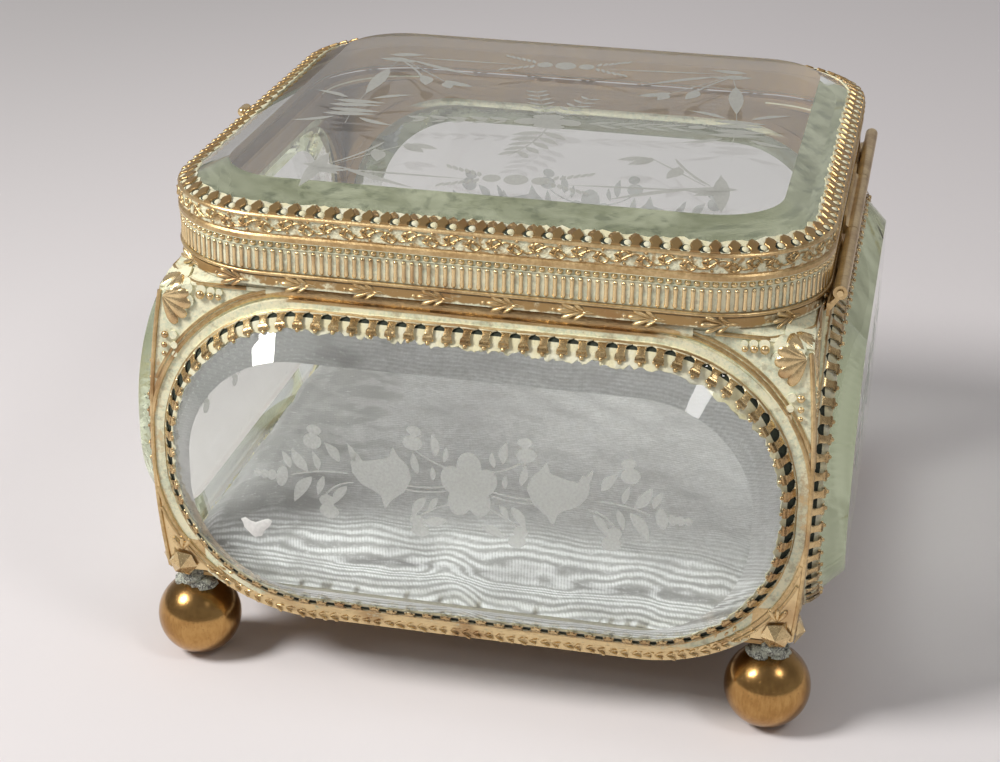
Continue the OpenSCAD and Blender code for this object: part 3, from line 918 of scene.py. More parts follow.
WIRE_FOOT = -29.0
SHOULDER_WIRE_Z = 79.9


def window_wires():
    """Two wires that follow the window, and one along each end of the shoulder."""
    wires = []
    for offset, radius in ((2.4, 0.44), (3.35, 0.34)):
        for stretch in runs(window_path(offset), 0.25):
            for sign in (1, -1):
                part = [(u, v) for u, v in stretch if v > WIRE_FOOT and sign * u > 0]
                if len(part) > 2:
                    wires.append(wire_along(on_skin(part, radius * 0.25), radius))
    up = SHOULDER_WIRE_Z - MID_Z
    for sign in (-1, 1):
        line = [(sign * u, up) for u in (43.0 + 0.7 * k for k in range(20)) if within_fold(u, up)]
        wires.append(wire_along(on_skin(line, 0.15), 0.42))
    return join(wires)


wires = write_relief(window_wires(),
                     lambda spot: ramp(spot.z - skin(spot.x, spot.y) - 0.02, 0.0, 0.4))
four_sides(wires, "window_wires", gilt_relief)

# %% [markdown]
# The fold between two sides is covered by one more thin wire. It follows the bow of
# the sheets, so its points are read from the skin.

# %% Corner ridges
RIDGE_FOOT = 20.5
RIDGE_TOP = 78.0
RIDGE_POINTS = 40


def corner_ridge(number):
    """Thin wire down the fold between two sides."""
    points = []
    for k in range(RIDGE_POINTS):
        z = RIDGE_FOOT + (RIDGE_TOP - RIDGE_FOOT) * k / (RIDGE_POINTS - 1)
        half = skin(0.0, z - MID_Z) + 0.05
        points.append((-half, -half, z))
    ridge = write_relief(wire_along(points, 0.42), lambda spot: 0.8)
    ridge.data.transform(quarter(number))
    return ridge


settle(join([corner_ridge(k) for k in range(4)]), "corner_ridges", gilt_relief, "body")

# %% [markdown]
# ## Palmettes
# Each upper corner has a fan of drop-shaped petals that spring from the fold, with
# three beads of falling size in the point of the field on either side. One petal is
# a ball that is halved, drawn out and pinched at its root; copies are turned,
# scaled and laid on the skin.

# %% Petals and beads
def half_ball(segments, rings, radius, turn=0.0):
    """The upper half of a ball whose poles are on Z, or on X with a quarter turn."""
    ball = fresh(bpy.ops.mesh.primitive_uv_sphere_add, segments=segments, ring_count=rings,
                 radius=radius)
    if turn:
        ball.data.transform(Matrix.Rotation(math.radians(turn), 4, "Y"))
    choose(ball)
    bpy.ops.mesh.bisect(plane_co=(0, 0, 0), plane_no=(0, 0, 1), clear_inner=True)
    leave_edit()
    return ball


def petal():
    """Drop from its root at the origin to 1 mm out along +X, 0.3 high."""
    drop_shape = half_ball(12, 8, 0.5, 90)
    for point in drop_shape.data.vertices:
        share = point.co.x + 0.5
        point.co.x = share
        point.co.y *= 0.28 + 0.9 * share
        point.co.z *= 0.3 + 0.55 * share
    return mark_relief(drop_shape, 0.0, 0.06)


def dome(radius, height=0.85, segments=10):
    """Half ball that stands on z = 0."""
    bead = half_ball(segments, 6, radius)
    bead.data.transform(Matrix.Diagonal((1, 1, height, 1)))
    return mark_relief(bead, 0.0, radius * 0.35)


def faced_out(bead, low, high):
    """Turns a dome to stand out towards +X, with its relief measured that way."""
    bead.data.transform(Matrix.Rotation(math.radians(90), 4, "Y"))
    return mark_relief(bead, low, high, 0)


print("petal and dome ready")

# %% [markdown]
# The fan is the same on each corner, so its petals and beads are short tables: a
# petal has an angle, a length and a width, and a bead its place and radius.

# %% Palmettes on the corners
PALMETTE_Z = 77.0
STAMP_RISE = 0.42
PETALS = ((33, 4.7, 1.7), (12, 5.4, 2.0), (-12, 5.8, 2.2), (-37, 5.9, 2.2), (-62, 5.8, 2.0))
ARM_BEADS = ((7.4, 0.9, 0.9), (9.3, 0.8, 0.74), (10.9, 0.7, 0.6),
             (0.5, -7.3, 0.76), (0.35, -9.3, 0.62), (0.3, -11.0, 0.52))


def palmette_side():
    """The petals and beads of one side, both corners, laid on its skin."""
    one = petal()
    parts = []
    up = PALMETTE_Z - MID_Z
    root = skin(58.0, up) - 0.7
    for sign in (-1, 1):
        for angle, length, width in PETALS:
            turn = 180 - angle if sign > 0 else angle
            place = placed((sign * root, up, STAMP_RISE), turn, (length, width * 1.3, 1.5))
            parts.append(copy_to(one, place))
        for inward, rise, radius in ARM_BEADS:
            bead = dome(radius)
            bead.data.transform(placed((sign * (root - inward), up + rise, STAMP_RISE)))
            parts.append(bead)
    drop(one)
    return drape(join(parts))


four_sides(palmette_side(), "palmettes", gilt_bright_relief, 60.0)

# %% [markdown]
# ## Claws of the window galleries
# The strip round each pane was cut into claws that are folded over the glass. A
# claw has a stem, a head that is wider than the stem and a round drop at its tip.
# It is grown from a small box by extruding its end face and scaling what is new.

# %% One claw
def grown_bar(sections):
    """A bar along -X; a section is (x, half width, bottom, top)."""
    x0, half0, low0, high0 = sections[0]
    bar = fresh(bpy.ops.mesh.primitive_plane_add, size=1.0)
    bar.data.transform(Matrix.Rotation(math.radians(-90), 4, "Y"))
    for point in bar.data.vertices:
        point.co = (x0, half0 * (1 if point.co.y > 0 else -1), high0 if point.co.z > 0 else low0)
    for x, half, low, high in sections[1:]:
        farthest = min(point.co.x for point in bar.data.vertices)
        choose(bar, "FACE", lambda part: abs(part.center.x - farthest) < 1e-4)
        extrude(x - farthest, 0, 0)
        leave_edit()
        for point in bar.data.vertices:
            if abs(point.co.x - x) < 1e-4:
                point.co = (x, half * (1 if point.co.y > 0 else -1),
                            high if point.co.z > (low0 + high0) / 2 else low)
    face_outward(bar)
    return bar


def claw():
    """Root at x = 0, tip towards -X, lying on z = 0; the root spreads into the strip."""
    bar = grown_bar(((0.3, 1.74, -0.15, 0.12), (0.05, 1.7, -0.1, 0.2), (-0.2, 1.0, -0.05, 0.34),
                     (-0.6, 0.72, 0.0, 0.55), (-1.9, 0.68, 0.05, 0.7), (-2.4, 0.95, 0.05, 0.76),
                     (-2.95, 0.95, 0.0, 0.66), (-3.3, 0.5, 0.0, 0.42)))
    bevel = bar.modifiers.new("soft", "BEVEL")
    bevel.width = 0.16
    bevel.segments = 1
    bevel.limit_method = "ANGLE"
    apply_all(bar)
    drops = []
    for x, y, radius in ((-3.5, 0.0, 0.46), (-2.95, 0.78, 0.32), (-2.95, -0.78, 0.32)):
        tip = dome(radius, 1.2, 6)
        tip.data.transform(Matrix.Translation((x, y, 0.15)))
        drops.append(tip)
    mark_relief(bar, 0.12, 0.5)
    return join([bar] + drops)


print("claw tools ready")

# %% [markdown]
# Claws, teeth, reeds and beads all stand at even distances round a rounded
# rectangle. The path is walked in nine pieces, straights and quarter circles in
# turn, from the middle of the right side and back to it.

# %% Places round a rounded rectangle
CLAW_PITCH = 3.48
BEVEL_ANGLE = math.atan((7.9 - 1.0) / 6.8)


def path_places(half_w, half_h, radius, pitch):
    """(x, y, outward angle) at even distances round a rounded rectangle."""
    a, b = half_w - radius, half_h - radius
    quarter = math.pi * radius / 2
    pieces = ((b, 0), (quarter, 1), (2 * a, 2), (quarter, 3), (2 * b, 4), (quarter, 5),
              (2 * a, 6), (quarter, 7), (b, 8))
    total = sum(length for length, kind in pieces)
    count = round(total / pitch)
    places = []
    for k in range(count):
        s = (k + 0.5) * total / count
        for length, kind in pieces:
            if s <= length:
                break
            s -= length
        if kind % 2:
            turn = (kind - 1) * 45 + math.degrees(s / radius)
            cx = a if kind in (1, 7) else -a
            cy = b if kind in (1, 3) else -b
            rad = math.radians(turn)
            places.append((cx + radius * math.cos(rad), cy + radius * math.sin(rad), turn))
        else:
            places.append({0: (a + radius, s, 0), 2: (a - s, b + radius, 90),
                           4: (-a - radius, b - s, 180), 6: (-a + s, -b - radius, 270),
                           8: (a + radius, -b + s, 0)}[kind])
    return places


print(len(path_places(WINDOW_W, WINDOW_H, WINDOW_R, CLAW_PITCH)), "claws fit round a window")

# %% [markdown]
# The claws were bent by hand, so each copy is turned and tilted by a few degrees
# of its own, always the same in every run.

# %% Claws round the windows
def claws_round_window():
    """All claws of one window, each a little askew."""
    one = claw()
    inset = 0.45
    parts = []
    wander = random.Random(5)
    for x, y, turn in path_places(WINDOW_W - inset, WINDOW_H - inset, WINDOW_R - inset,
                                  CLAW_PITCH):
        tilt = BEVEL_ANGLE + math.radians(wander.uniform(-3.0, 3.0))
        lean = turn + wander.uniform(-2.5, 2.5)
        parts.append(copy_to(one, placed((x, y, PANE_EDGE + 0.12), lean)
                             @ Matrix.Rotation(tilt, 4, "Y")))
    drop(one)
    return join(parts)


claws = claws_round_window()
for number, side in enumerate(SIDES):
    piece = settle(copy_to(claws, on_side(number)), "claws_" + side, gilt_claws, "body",
                   50.0)
    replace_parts(piece, "gallery_" + side)
drop(claws)

# %% [markdown]
# Between the claws the strip is pierced, and the shade in the gap under the glass's
# edge is painted on a black strip. Behind them the cement makes a ragged cream line
# on the bevel.

# %% Collars, gaps and cement round the windows
def window_plate(grow, out, segments=14, step=1.6):
    """A plate of the window's shape, grown or shrunk all round."""
    return rounded_plate(WINDOW_W + grow, WINDOW_H + grow, WINDOW_R + grow, out, segments, step)


def gallery_collar():
    """The uncut part of the strip, between moulding and claws."""
    plate = window_plate(0.15, PANE_EDGE - 0.75)
    ring_from(plate, ((0.01, 0.7), (0.25, 0.16), (0.3, -0.1), (0.02, -0.5)))
    return mark_relief(plate, PANE_EDGE - 0.2, PANE_EDGE + 0.1)


def painted_shadow_ring():
    """Black strip of painted shadow that shows between the stems."""
    return ring_from(window_plate(-0.2, PANE_EDGE - 0.3), ((0.02, 0.32), (0.4, 0.03), (1.3, 1.36)),
                     closed=False)


CEMENT_START = 1.12
CEMENT_OUTER = 1.6
CEMENT_INNER = 2.9


def cement_ring():
    """Cream cement from under the claws a little way up the bevel, ragged inside.

    Its outer edge is drawn in, which leaves the black strip of painted shadow open, but
    not along the top. There the inner edge also reaches farther in, more so towards the right."""
    slope = math.tan(BEVEL_ANGLE)
    start = CEMENT_START
    plate = window_plate(-start, PANE_EDGE + (start - 0.6) * slope, 40, 0.5)
    ring_from(plate, ((0.05, 0.2), (0.9, 0.9 * slope), (1.0, 1.0 * slope - 0.06), (0.12, -0.12)))
    for point in plate.data.vertices:
        past = past_corner(point.co, WINDOW_W - WINDOW_R, WINDOW_H - WINDOW_R)
        depth = WINDOW_R - math.hypot(*past)
        if depth < CEMENT_OUTER:
            back = 0.65 * ramp(22.0 - point.co.y, 0.0, 6.0)
            point.co -= from_corner(point.co, *past) * back
            point.co.z += back * slope
        if depth > CEMENT_INNER:
            pull = noise.noise(point.co / 3.1) * 0.5 + noise.noise(point.co / 0.55) * 0.7
            pull += 0.9 * ramp(point.co.y, 14.0, 24.0) * (0.6 + point.co.x / 90.0) - 0.35
            toward = Vector((point.co.x, point.co.y * 2.0, 0)).normalized()
            point.co -= toward * pull
            point.co.z += pull * slope * max(abs(toward.y), 0.75)
    return plate


four_sides(gallery_collar(), "gallery_collar", gilt_relief)
# Painted shadow in the gaps between the claws.
four_sides(painted_shadow_ring(), "gallery_shadow", painted_shadow)
four_sides(cement_ring(), "window_cement", cream_cement, 60.0)

# %% [markdown]
# ## The lid's rim
# From the bottom up the rim has a plain wire, a band of waisted reeds, a row of
# beads, a fillet, a running vine and the teeth. Reeds and beads are repeated all
# round, so each has few faces.

# %% One reed
RIM_HALF = 61.7
RIM_R = 22.6
REED_PITCH = 1.52
BEAD_PITCH = 1.61
REED_LOW = 84.2
REED_TOP = 88.8
BEAD_Z = 89.5
RIM_INSIDE = 60.35


def reed():
    """Waisted reed along z with its crest towards +X, arched at both ends."""
    tall = REED_TOP - REED_LOW - 0.5
    stick = fresh(bpy.ops.mesh.primitive_cylinder_add, vertices=8, radius=0.46, depth=tall)
    for cut in (-1.7, -1.1, 0.0, 1.1, 1.7):
        choose(stick)
        bpy.ops.mesh.bisect(plane_co=(0, 0, cut), plane_no=(0, 0, 1))
        leave_edit()
    for point in stick.data.vertices:
        share = abs(point.co.z) / (tall / 2)
        wide = 0.78 + 0.3 * share ** 2 if share < 0.95 else 0.5
        point.co.x *= wide
        point.co.y *= wide
    choose(stick, "FACE", lambda part: part.center.x < -0.12)
    bpy.ops.mesh.delete(type="FACE")
    leave_edit()
    return mark_relief(stick, 0.05, 0.42, 0)


print("reed tool ready,", round(REED_TOP - REED_LOW, 1), "mm tall")

# %% [markdown]
# Small pieces are copied round the rim. Strips that run all round are spun about
# one corner from their section, copied to the other corners, and bridged along
# the straights.

# %% Copies and strips round the rim
def round_the_rim(one, inset, z, pitch, tilt=0.0, wander=0.0, seed=1, start=0, every=1):
    """Copies round the lid with +X outward, at a distance inside the fillet."""
    draw = random.Random(seed)
    parts = []
    half = RIM_HALF - inset
    for x, y, turn in path_places(half, half, RIM_R - inset, pitch)[start::every]:
        lean = turn + draw.uniform(-wander, wander)
        parts.append(copy_to(one, placed((x, y, z), lean) @ Matrix.Rotation(tilt, 4, "Y")))
    drop(one)
    return join(parts)


def rim_strip(profile, name, low, high):
    """A strip spun round one corner from its section (distance, height), then repeated."""
    sheet = fresh(bpy.ops.mesh.primitive_circle_add, vertices=len(profile), radius=1.0,
                  fill_type="NOTHING")
    for point, (x, z) in zip(sheet.data.vertices, profile):
        point.co = (x - CORNER_C, 0.0, z)
    choose(sheet, "EDGE")
    bpy.ops.mesh.spin(steps=14, angle=math.radians(-90), center=(0, 0, 0), axis=(0, 0, 1))
    leave_edit()
    sheet.data.transform(Matrix.Translation((CORNER_C, CORNER_C, 0)))
    corners = [copy_to(sheet, quarter(k)) for k in range(4)]
    drop(sheet)
    strip = join(corners)
    for k in range(4):
        back = quarter(-k)

        def end_edge(edge):
            p, q = (back @ strip.data.vertices[i].co for i in edge.vertices)
            at_ends = all(abs(abs(spot.y) - CORNER_C) < 1e-3 for spot in (p, q))
            return at_ends and abs(p.y - q.y) < 1e-3 and min(p.x, q.x) > CORNER_C + 1.0

        choose(strip, "EDGE", end_edge)
        bpy.ops.mesh.bridge_edge_loops()
        leave_edit()
    face_outward(strip)

    def outward(spot):
        reach = math.hypot(*past_corner(spot, CORNER_C, CORNER_C)) + CORNER_C
        return -1.0 if reach < RIM_INSIDE else ramp(reach, low, high)

    return settle(write_relief(strip, outward), name, gilt_relief, "lid", 40.0)


print("rim tools ready")

# %% [markdown]
# The reeds and beads stand on plain strips: a ground behind the reeds, a wire at
# the foot and a shallow channel for the beads.

# %% Reeds and beads on the rim
REED_GROUND = ((60.3, 84.3), (61.0, 84.3), (61.0, 88.75), (60.3, 88.75))
WIRE = tuple((61.25 + 0.42 * math.cos(math.radians(t)), 83.87 + 0.37 * math.sin(math.radians(t)))
             for t in range(-150, 151, 30)) + ((60.3, 84.05), (60.3, 83.69))
BEAD_GROUND = ((60.3, 88.8), (61.25, 88.8), (61.25, 88.95), (61.0, 89.0), (61.0, 90.0),
               (61.25, 90.05), (61.25, 90.2), (60.3, 90.2))
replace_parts(rim_strip(REED_GROUND, "lid_reed_ground", 61.4, 62.4), "lid_reeded_band")
rim_strip(WIRE, "lid_lower_wire", 60.5, 61.2)
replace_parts(rim_strip(BEAD_GROUND, "lid_bead_ground", 61.2, 62.2), "lid_bead_wire")
reeds = round_the_rim(reed(), 0.68, (REED_LOW + REED_TOP) / 2, REED_PITCH)
settle(reeds, "lid_reeds", gilt_reeds, "lid", 60.0)
beads = round_the_rim(faced_out(dome(0.62, 1.0, 8), 0.15, 0.5), 0.72, BEAD_Z, BEAD_PITCH)
settle(beads, "lid_beads", gilt_reeds, "lid", 60.0)

# %% [markdown]
# The band over the beads carries a running vine: a waved stem, curled tendrils,
# pairs of leaves and berries. Each is small enough to be set round the corners
# without bending.

# %% Running vine
VINE_Z = 93.2
VINE_INSET = 0.3
VINE_PITCH = 1.9
STEM_STEP = 0.475
STEM_LONG = 3.8


def curl(turn_way):
    """A tendril that winds up, lying on the plane x = 0."""
    points = []
    for k in range(10):
        angle = turn_way * math.radians(k * 40)
        radius = 1.15 - 0.08 * k
        points.append((0.08, radius * math.cos(angle), radius * math.sin(angle)))
    tendril = wire_along(points, 0.24, 1)
    return mark_relief(tendril, 0.05, 0.28, 0)


def upright(piece):
    """Turns a piece that lies flat, with its top towards +Z, to face +X with +Y along."""
    piece.data.transform(Matrix(((0, 0, 1, 0), (1, 0, 0, 0), (0, 1, 0, 0), (0, 0, 0, 1))))
    return piece


def leaf_pair(rise):
    """Two leaves that spring from one point towards +Y, on the plane x = 0."""
    one = petal()
    leaves = [upright(copy_to(one, placed((0, 0, 0), angle * rise, (length, 0.85, 1.5))))
              for angle, length in ((38, 1.9), (-22, 1.5))]
    drop(one)
    return join(leaves)


def stem(arch):
    """A stretch of the stem, arched up or down; two in turn make the running wave."""
    points = [(0.05, STEM_STEP * k, arch * math.cos(math.pi * STEM_STEP * k / STEM_LONG))
              for k in range(-4, 5)]
    return mark_relief(wire_along(points, 0.21, 1), 0.05, 0.24, 0)


def berry():
    return faced_out(dome(0.36, 0.9, 6), 0.1, 0.3)


vine = []
for start, make, value, rise in (
        (0, curl, 1, 0.25), (1, leaf_pair, 1, -0.4), (2, curl, -1, -0.25),
        (3, leaf_pair, -1, 0.4), (2, berry, None, 1.15), (0, berry, None, -1.15),
        (1, stem, 0.8, 0.0), (3, stem, -0.8, 0.0)):
    one = make() if value is None else make(value)
    vine.append(round_the_rim(one, VINE_INSET, VINE_Z + rise, VINE_PITCH, 0.0, 3.0, 11 + start,
                              start, 4))
settle(join(vine), "lid_vine", gilt_vine, "lid", 60.0)

# %% [markdown]
# The teeth of the lid are stamped spades that lean over the bevel. They spring from
# a thin strip at the top of the rim.

# %% Teeth of the lid
TOOTH_PITCH = 3.45
TOOTH_INSET = 0.55
TOOTH_Z = LID_PANE_EDGE + 0.3
LID_ANGLE = math.atan((6.5 - 2.4) / 8.9)


def flat_face(outline, z):
    """One face with this outline, looking up."""
    disc = fresh(bpy.ops.mesh.primitive_circle_add, vertices=len(outline), radius=1.0,
                 fill_type="NGON")
    for point, (x, y) in zip(disc.data.vertices, outline):
        point.co = (x, y, z)
    return face_up(disc)


def tooth():
    """Spade-shaped tooth with its root at x = 0 and its point towards -X."""
    outline = ((0.1, 0.95), (-0.3, 0.66), (-0.75, 0.68), (-1.15, 0.98), (-1.55, 1.08),
               (-1.9, 0.92), (-2.25, 0.62), (-2.6, 0.4), (-2.9, 0.22))
    disc = flat_face(outline + tuple((x, -y) for x, y in reversed(outline)), 0.0)
    choose(disc)
    extrude(0, 0, 0.3)
    bpy.ops.mesh.inset(thickness=0.1, depth=0.16)
    bpy.ops.mesh.inset(thickness=0.08, depth=0.06)
    leave_edit()
    return mark_relief(disc, 0.1, 0.45)


settle(round_the_rim(tooth(), TOOTH_INSET, TOOTH_Z, TOOTH_PITCH, LID_ANGLE, 2.0, 3),
       "lid_teeth", gilt_teeth, "lid", 35.0)
TEETH_ROOT = ((61.32, 94.55), (61.6, 94.6), (61.68, 94.95), (61.5, 95.25), (61.15, 95.38),
              (60.9, 95.45), (60.9, 95.2), (61.32, 94.95))
rim_strip(TEETH_ROOT, "lid_teeth_root", 61.25, 61.5)

# %% [markdown]
# Between two teeth the strip leaves a round hole. The cement swells through it as a
# small cream dome, and the shade in what is left open is painted as a black dome
# under it, which shows as a crescent beside the cream one.

# %% Cement and keyholes of the lid
def keyhole(shift, radius, height, lift):
    """Low dome for the gap between two teeth."""
    piece = dome(radius, height, 10)
    piece.data.transform(Matrix.Translation((-0.75, shift, lift)))
    return piece


def half_way(piece, name, finish):
    """Sets a piece in each gap between two teeth."""
    half = RIM_HALF - TOOTH_INSET
    places = path_places(half, half, RIM_R - TOOTH_INSET, TOOTH_PITCH)
    parts = []
    for (x0, y0, t0), (x1, y1, t1) in zip(places, places[1:] + places[:1]):
        turn = t0 + ((t1 - t0 + 180) % 360 - 180) / 2
        parts.append(copy_to(piece, placed(((x0 + x1) / 2, (y0 + y1) / 2, TOOTH_Z), turn)
                             @ Matrix.Rotation(LID_ANGLE, 4, "Y")))
    drop(piece)
    return settle(join(parts), name, finish, "lid", 60.0)


# Painted shadow: a black dome in each hole between the teeth, beside the cream one.
half_way(keyhole(0.0, 0.98, 0.28, 0.05), "lid_keyhole_shadows", painted_shadow)
half_way(keyhole(0.24, 0.74, 0.6, 0.1), "lid_cement_domes", cream_cement)


def lid_cement():
    """Cement under the teeth, brushed a little way up the bevel."""
    slope = math.tan(LID_ANGLE)
    half = LID_PANE_HALF + 0.1
    plate = rounded_plate(half, half, half - CORNER_C, LID_PANE_EDGE + 0.02, 20, 0.9)
    ring_from(plate, ((0.05, 0.3), (1.5, 1.5 * slope), (1.6, 1.6 * slope - 0.1), (0.12, -0.22)))
    for point in plate.data.vertices:
        past = past_corner(point.co, CORNER_C, CORNER_C)
        if math.hypot(*past) < 19.5:
            pull = noise.noise(point.co / 2.3) * 0.7 + noise.noise(point.co / 0.7) * 0.5 - 0.3
            point.co -= from_corner(point.co, *past) * pull
            point.co.z += pull * slope
    return plate


settle(lid_cement(), "lid_cement", cream_cement, "lid", 60.0)

# %% [markdown]
# ## Leaf band, strips, studs and solder
# The band under the lid is stamped with sprays of long leaves and dots between them.

# %% Sprays on the band under the lid
SPRAY_PITCH = 12.7
SPRAY_Z = 82.15
SPRAY_INSET = 0.5


def sprig(specs, thick):
    """A tuft of leaves that faces +X; a leaf is (x, y, angle, length, width)."""
    one = petal()
    leaves = [copy_to(one, placed((x, y, 0.0), angle, (length, width, thick)))
              for x, y, angle, length, width in specs]
    drop(one)
    return upright(join(leaves))


SPRAY = ((-2.4, 0.0, 180, 3.4, 1.0), (-1.6, 0.1, 158, 3.6, 1.0), (-1.6, -0.1, 202, 3.6, 1.0),
         (-0.5, 0.15, 148, 2.6, 0.8), (-0.5, -0.15, 212, 2.6, 0.8), (1.0, 0.0, 180, 2.2, 0.7))
sprays = [round_the_rim(one, SPRAY_INSET, SPRAY_Z, SPRAY_PITCH / 2, start=start, every=2)
          for start, one in enumerate((sprig(SPRAY, 1.5), berry()))]
settle(join(sprays), "band_sprays", gilt_relief, "body", 60.0)

# %% [markdown]
# The strip under each window and the brow over it are stamped with small leaves
# that follow the moulding, so each leaf is turned along the window's own path.

# %% Running leaves under and over the windows
STRIP_LIFT = 0.22


def strip_leaves(offsets, keep, pitch, long):
    """Small leaves that follow part of a window's edge, pointing to the right."""
    one = petal()
    draw = random.Random(8)
    parts = []
    for offset in offsets:
        path = [(u, v) for u, v in window_path(offset, 2.0)
                if keep(u, v) and within_fold(u, v, 1.4)]
        path.sort(key=lambda point: point[0])
        walked = offset / 2
        for (u0, v0), (u1, v1) in zip(path, path[1:]):
            gap = math.hypot(u1 - u0, v1 - v0)
            lean = math.degrees(math.atan2(v1 - v0, u1 - u0))
            while walked < gap:
                share = walked / gap
                spot = (u0 + (u1 - u0) * share, v0 + (v1 - v0) * share, STRIP_LIFT)
                for side in (-1, 1):
                    turn = lean + side * draw.uniform(12, 38)
                    size = (long * draw.uniform(0.8, 1.2), 0.4 * long, 1.5)
                    parts.append(copy_to(one, placed(spot, turn, size)))
                walked += pitch
            walked -= gap
    drop(one)
    return drape(join(parts))


four_sides(strip_leaves((1.45, 3.1), lambda u, v: v < -24.0, 2.2, 1.9),
           "strip_leaves", gilt_bright_relief, 60.0)
four_sides(strip_leaves((1.75,), lambda u, v: v > 29.0 and abs(u) < 37.0, 2.8, 2.6),
           "brow_leaves", gilt_relief, 60.0)

# %% [markdown]
# In each lower corner of a side a faceted stud stands over the foot, with a small
# leaf above it.

# %% Faceted studs over the feet
STUD_ACROSS = 57.6
STUD_UP = -25.3
LEAF_UP = -22.6


def corner_gems():
    """A cut stud with six facets in each lower corner of a side, and a small leaf above it."""
    leaf = petal()
    parts = []
    for sign in (-1, 1):
        stud = fresh(bpy.ops.mesh.primitive_cone_add, vertices=6, radius1=1.0, radius2=0.0,
                     depth=1.0)
        stud.data.transform(placed((sign * STUD_ACROSS, STUD_UP, 0.75), 30 + 8 * sign,
                                   (2.9, 2.8, 1.7)) @ Matrix.Translation((0, 0, 0.42)))
        parts.append(mark_relief(stud, -0.6, 2.2))
        for lean in (60, 90, 120):
            parts.append(copy_to(leaf, placed((sign * STUD_ACROSS, LEAF_UP, 0.1), lean,
                                              (3.4, 1.3, 1.8))))
    drop(leaf)
    return drape(join(parts))


four_sides(corner_gems(), "corner_gems", gilt_bright_relief, 20.0)

# %% [markdown]
# Where the feet were soldered on, old grey solder has run over the balls. Each run
# is a heap of five lumps, so that it looks poured and not turned.

# %% Solder on the feet
FOOT_XY = 56.4
LUMPS = ((0.0, 0.4, 16.4, 3.5, 2.0), (-2.2, 2.8, 16.0, 2.7, 1.6), (2.6, 1.4, 15.7, 2.5, 1.5),
         (0.6, 3.4, 17.8, 2.3, 1.7), (-0.6, -2.4, 15.2, 1.9, 1.0))


def solder_run(sx, sy, seed):
    """Lumps over the top of a ball, reaching up to the strip beside it."""
    lumps = []
    draw = random.Random(seed)
    for x, y, z, wide, tall in LUMPS:
        lump = fresh(bpy.ops.mesh.primitive_uv_sphere_add, segments=20, ring_count=12, radius=1.0)
        for point in lump.data.vertices:
            coarse = noise.noise(point.co * 2.2 + Vector((seed, x, y))) * 0.35
            fine = noise.noise(point.co * 6.0 + Vector((y, seed, x))) * 0.12
            point.co *= 1.0 + coarse + fine
        lump.data.transform(placed((sx * (FOOT_XY + x * 0.7 + draw.uniform(-0.3, 0.3)),
                                    sy * (FOOT_XY + y * 0.55 + draw.uniform(-0.3, 0.3)), z),
                                   size=(wide, wide * 0.9, tall)))
        lumps.append(lump)
    return join(lumps)


for seed, (name, sx, sy) in enumerate(zip(CORNERS, (-1, 1, -1, 1), (-1, -1, 1, 1))):
    settle(solder_run(sx, sy, seed + 3), "solder_" + name, old_solder, "body", 80.0)

# %% [markdown]
# ## Wheel-cut flowers
# The cutter's wheel leaves ovals, pointed leaves and lines. Each cut is one thin
# lens on the glass. The sprays are put together from a few such cuts.

# %% Cuts
CUT_RISE = 0.03
CUT_STEP = 0.007
CUT_LEVELS = 9
cut_count = itertools.count(1)


def cut(points):
    """A flat cut with this outline; no two that overlap lie on the same level."""
    return flat_face(points, CUT_RISE + CUT_STEP * (next(cut_count) % CUT_LEVELS))


def swung(x, y, along, off, turn):
    """A point (along, off) turned about (x, y)."""
    return (x + along * math.cos(turn) - off * math.sin(turn),
            y + along * math.sin(turn) + off * math.cos(turn))


def leaf_cut(x, y, length, width, angle, bend=0.0):
    """Pointed leaf from (x, y) in the direction of angle."""
    turn = math.radians(angle)
    outline = []
    for side in (1, -1):
        shares = range(7) if side > 0 else range(5, 0, -1)
        for k in shares:
            share = k / 6
            along = share * length
            off = (side * width / 2 * math.sin(math.pi * share ** 0.85)
                   + bend * math.sin(math.pi * share))
            outline.append(swung(x, y, along, off, turn))
    return cut(outline)


def oval_cut(x, y, a, b, angle=0.0):
    """Oval with half axes a and b."""
    turn = math.radians(angle)
    steps = [2 * math.pi * k / 14 for k in range(14)]
    return cut([swung(x, y, a * math.cos(t), b * math.sin(t), turn) for t in steps])


def line_cut(points, width):
    """Fine line through the points, thinner at its ends."""
    left, right = [], []
    for k, (x, y) in enumerate(points):
        x0, y0 = points[max(k - 1, 0)]
        x1, y1 = points[min(k + 1, len(points) - 1)]
        along = Vector((x1 - x0, y1 - y0)).normalized()
        w = width / 2 * (0.35 if k in (0, len(points) - 1) else 1.0)
        left.append((x - along.y * w, y + along.x * w))
        right.append((x + along.y * w, y - along.x * w))
    return cut(left + right[::-1])


def curve_points(start, middle, end, count=9):
    """Points on a smooth bow from start to end that leans towards middle."""
    points = []
    for k in range(count):
        t = k / (count - 1)
        points.append(tuple((1 - t) ** 2 * a + 2 * t * (1 - t) * b + t * t * c
                            for a, b, c in zip(start, middle, end)))
    return points


print("cutting tools ready")

# %% [markdown]
# Each side pane has the same garland: a flower in the middle, a bell on either side,
# stems with leaves, and berries towards the ends.

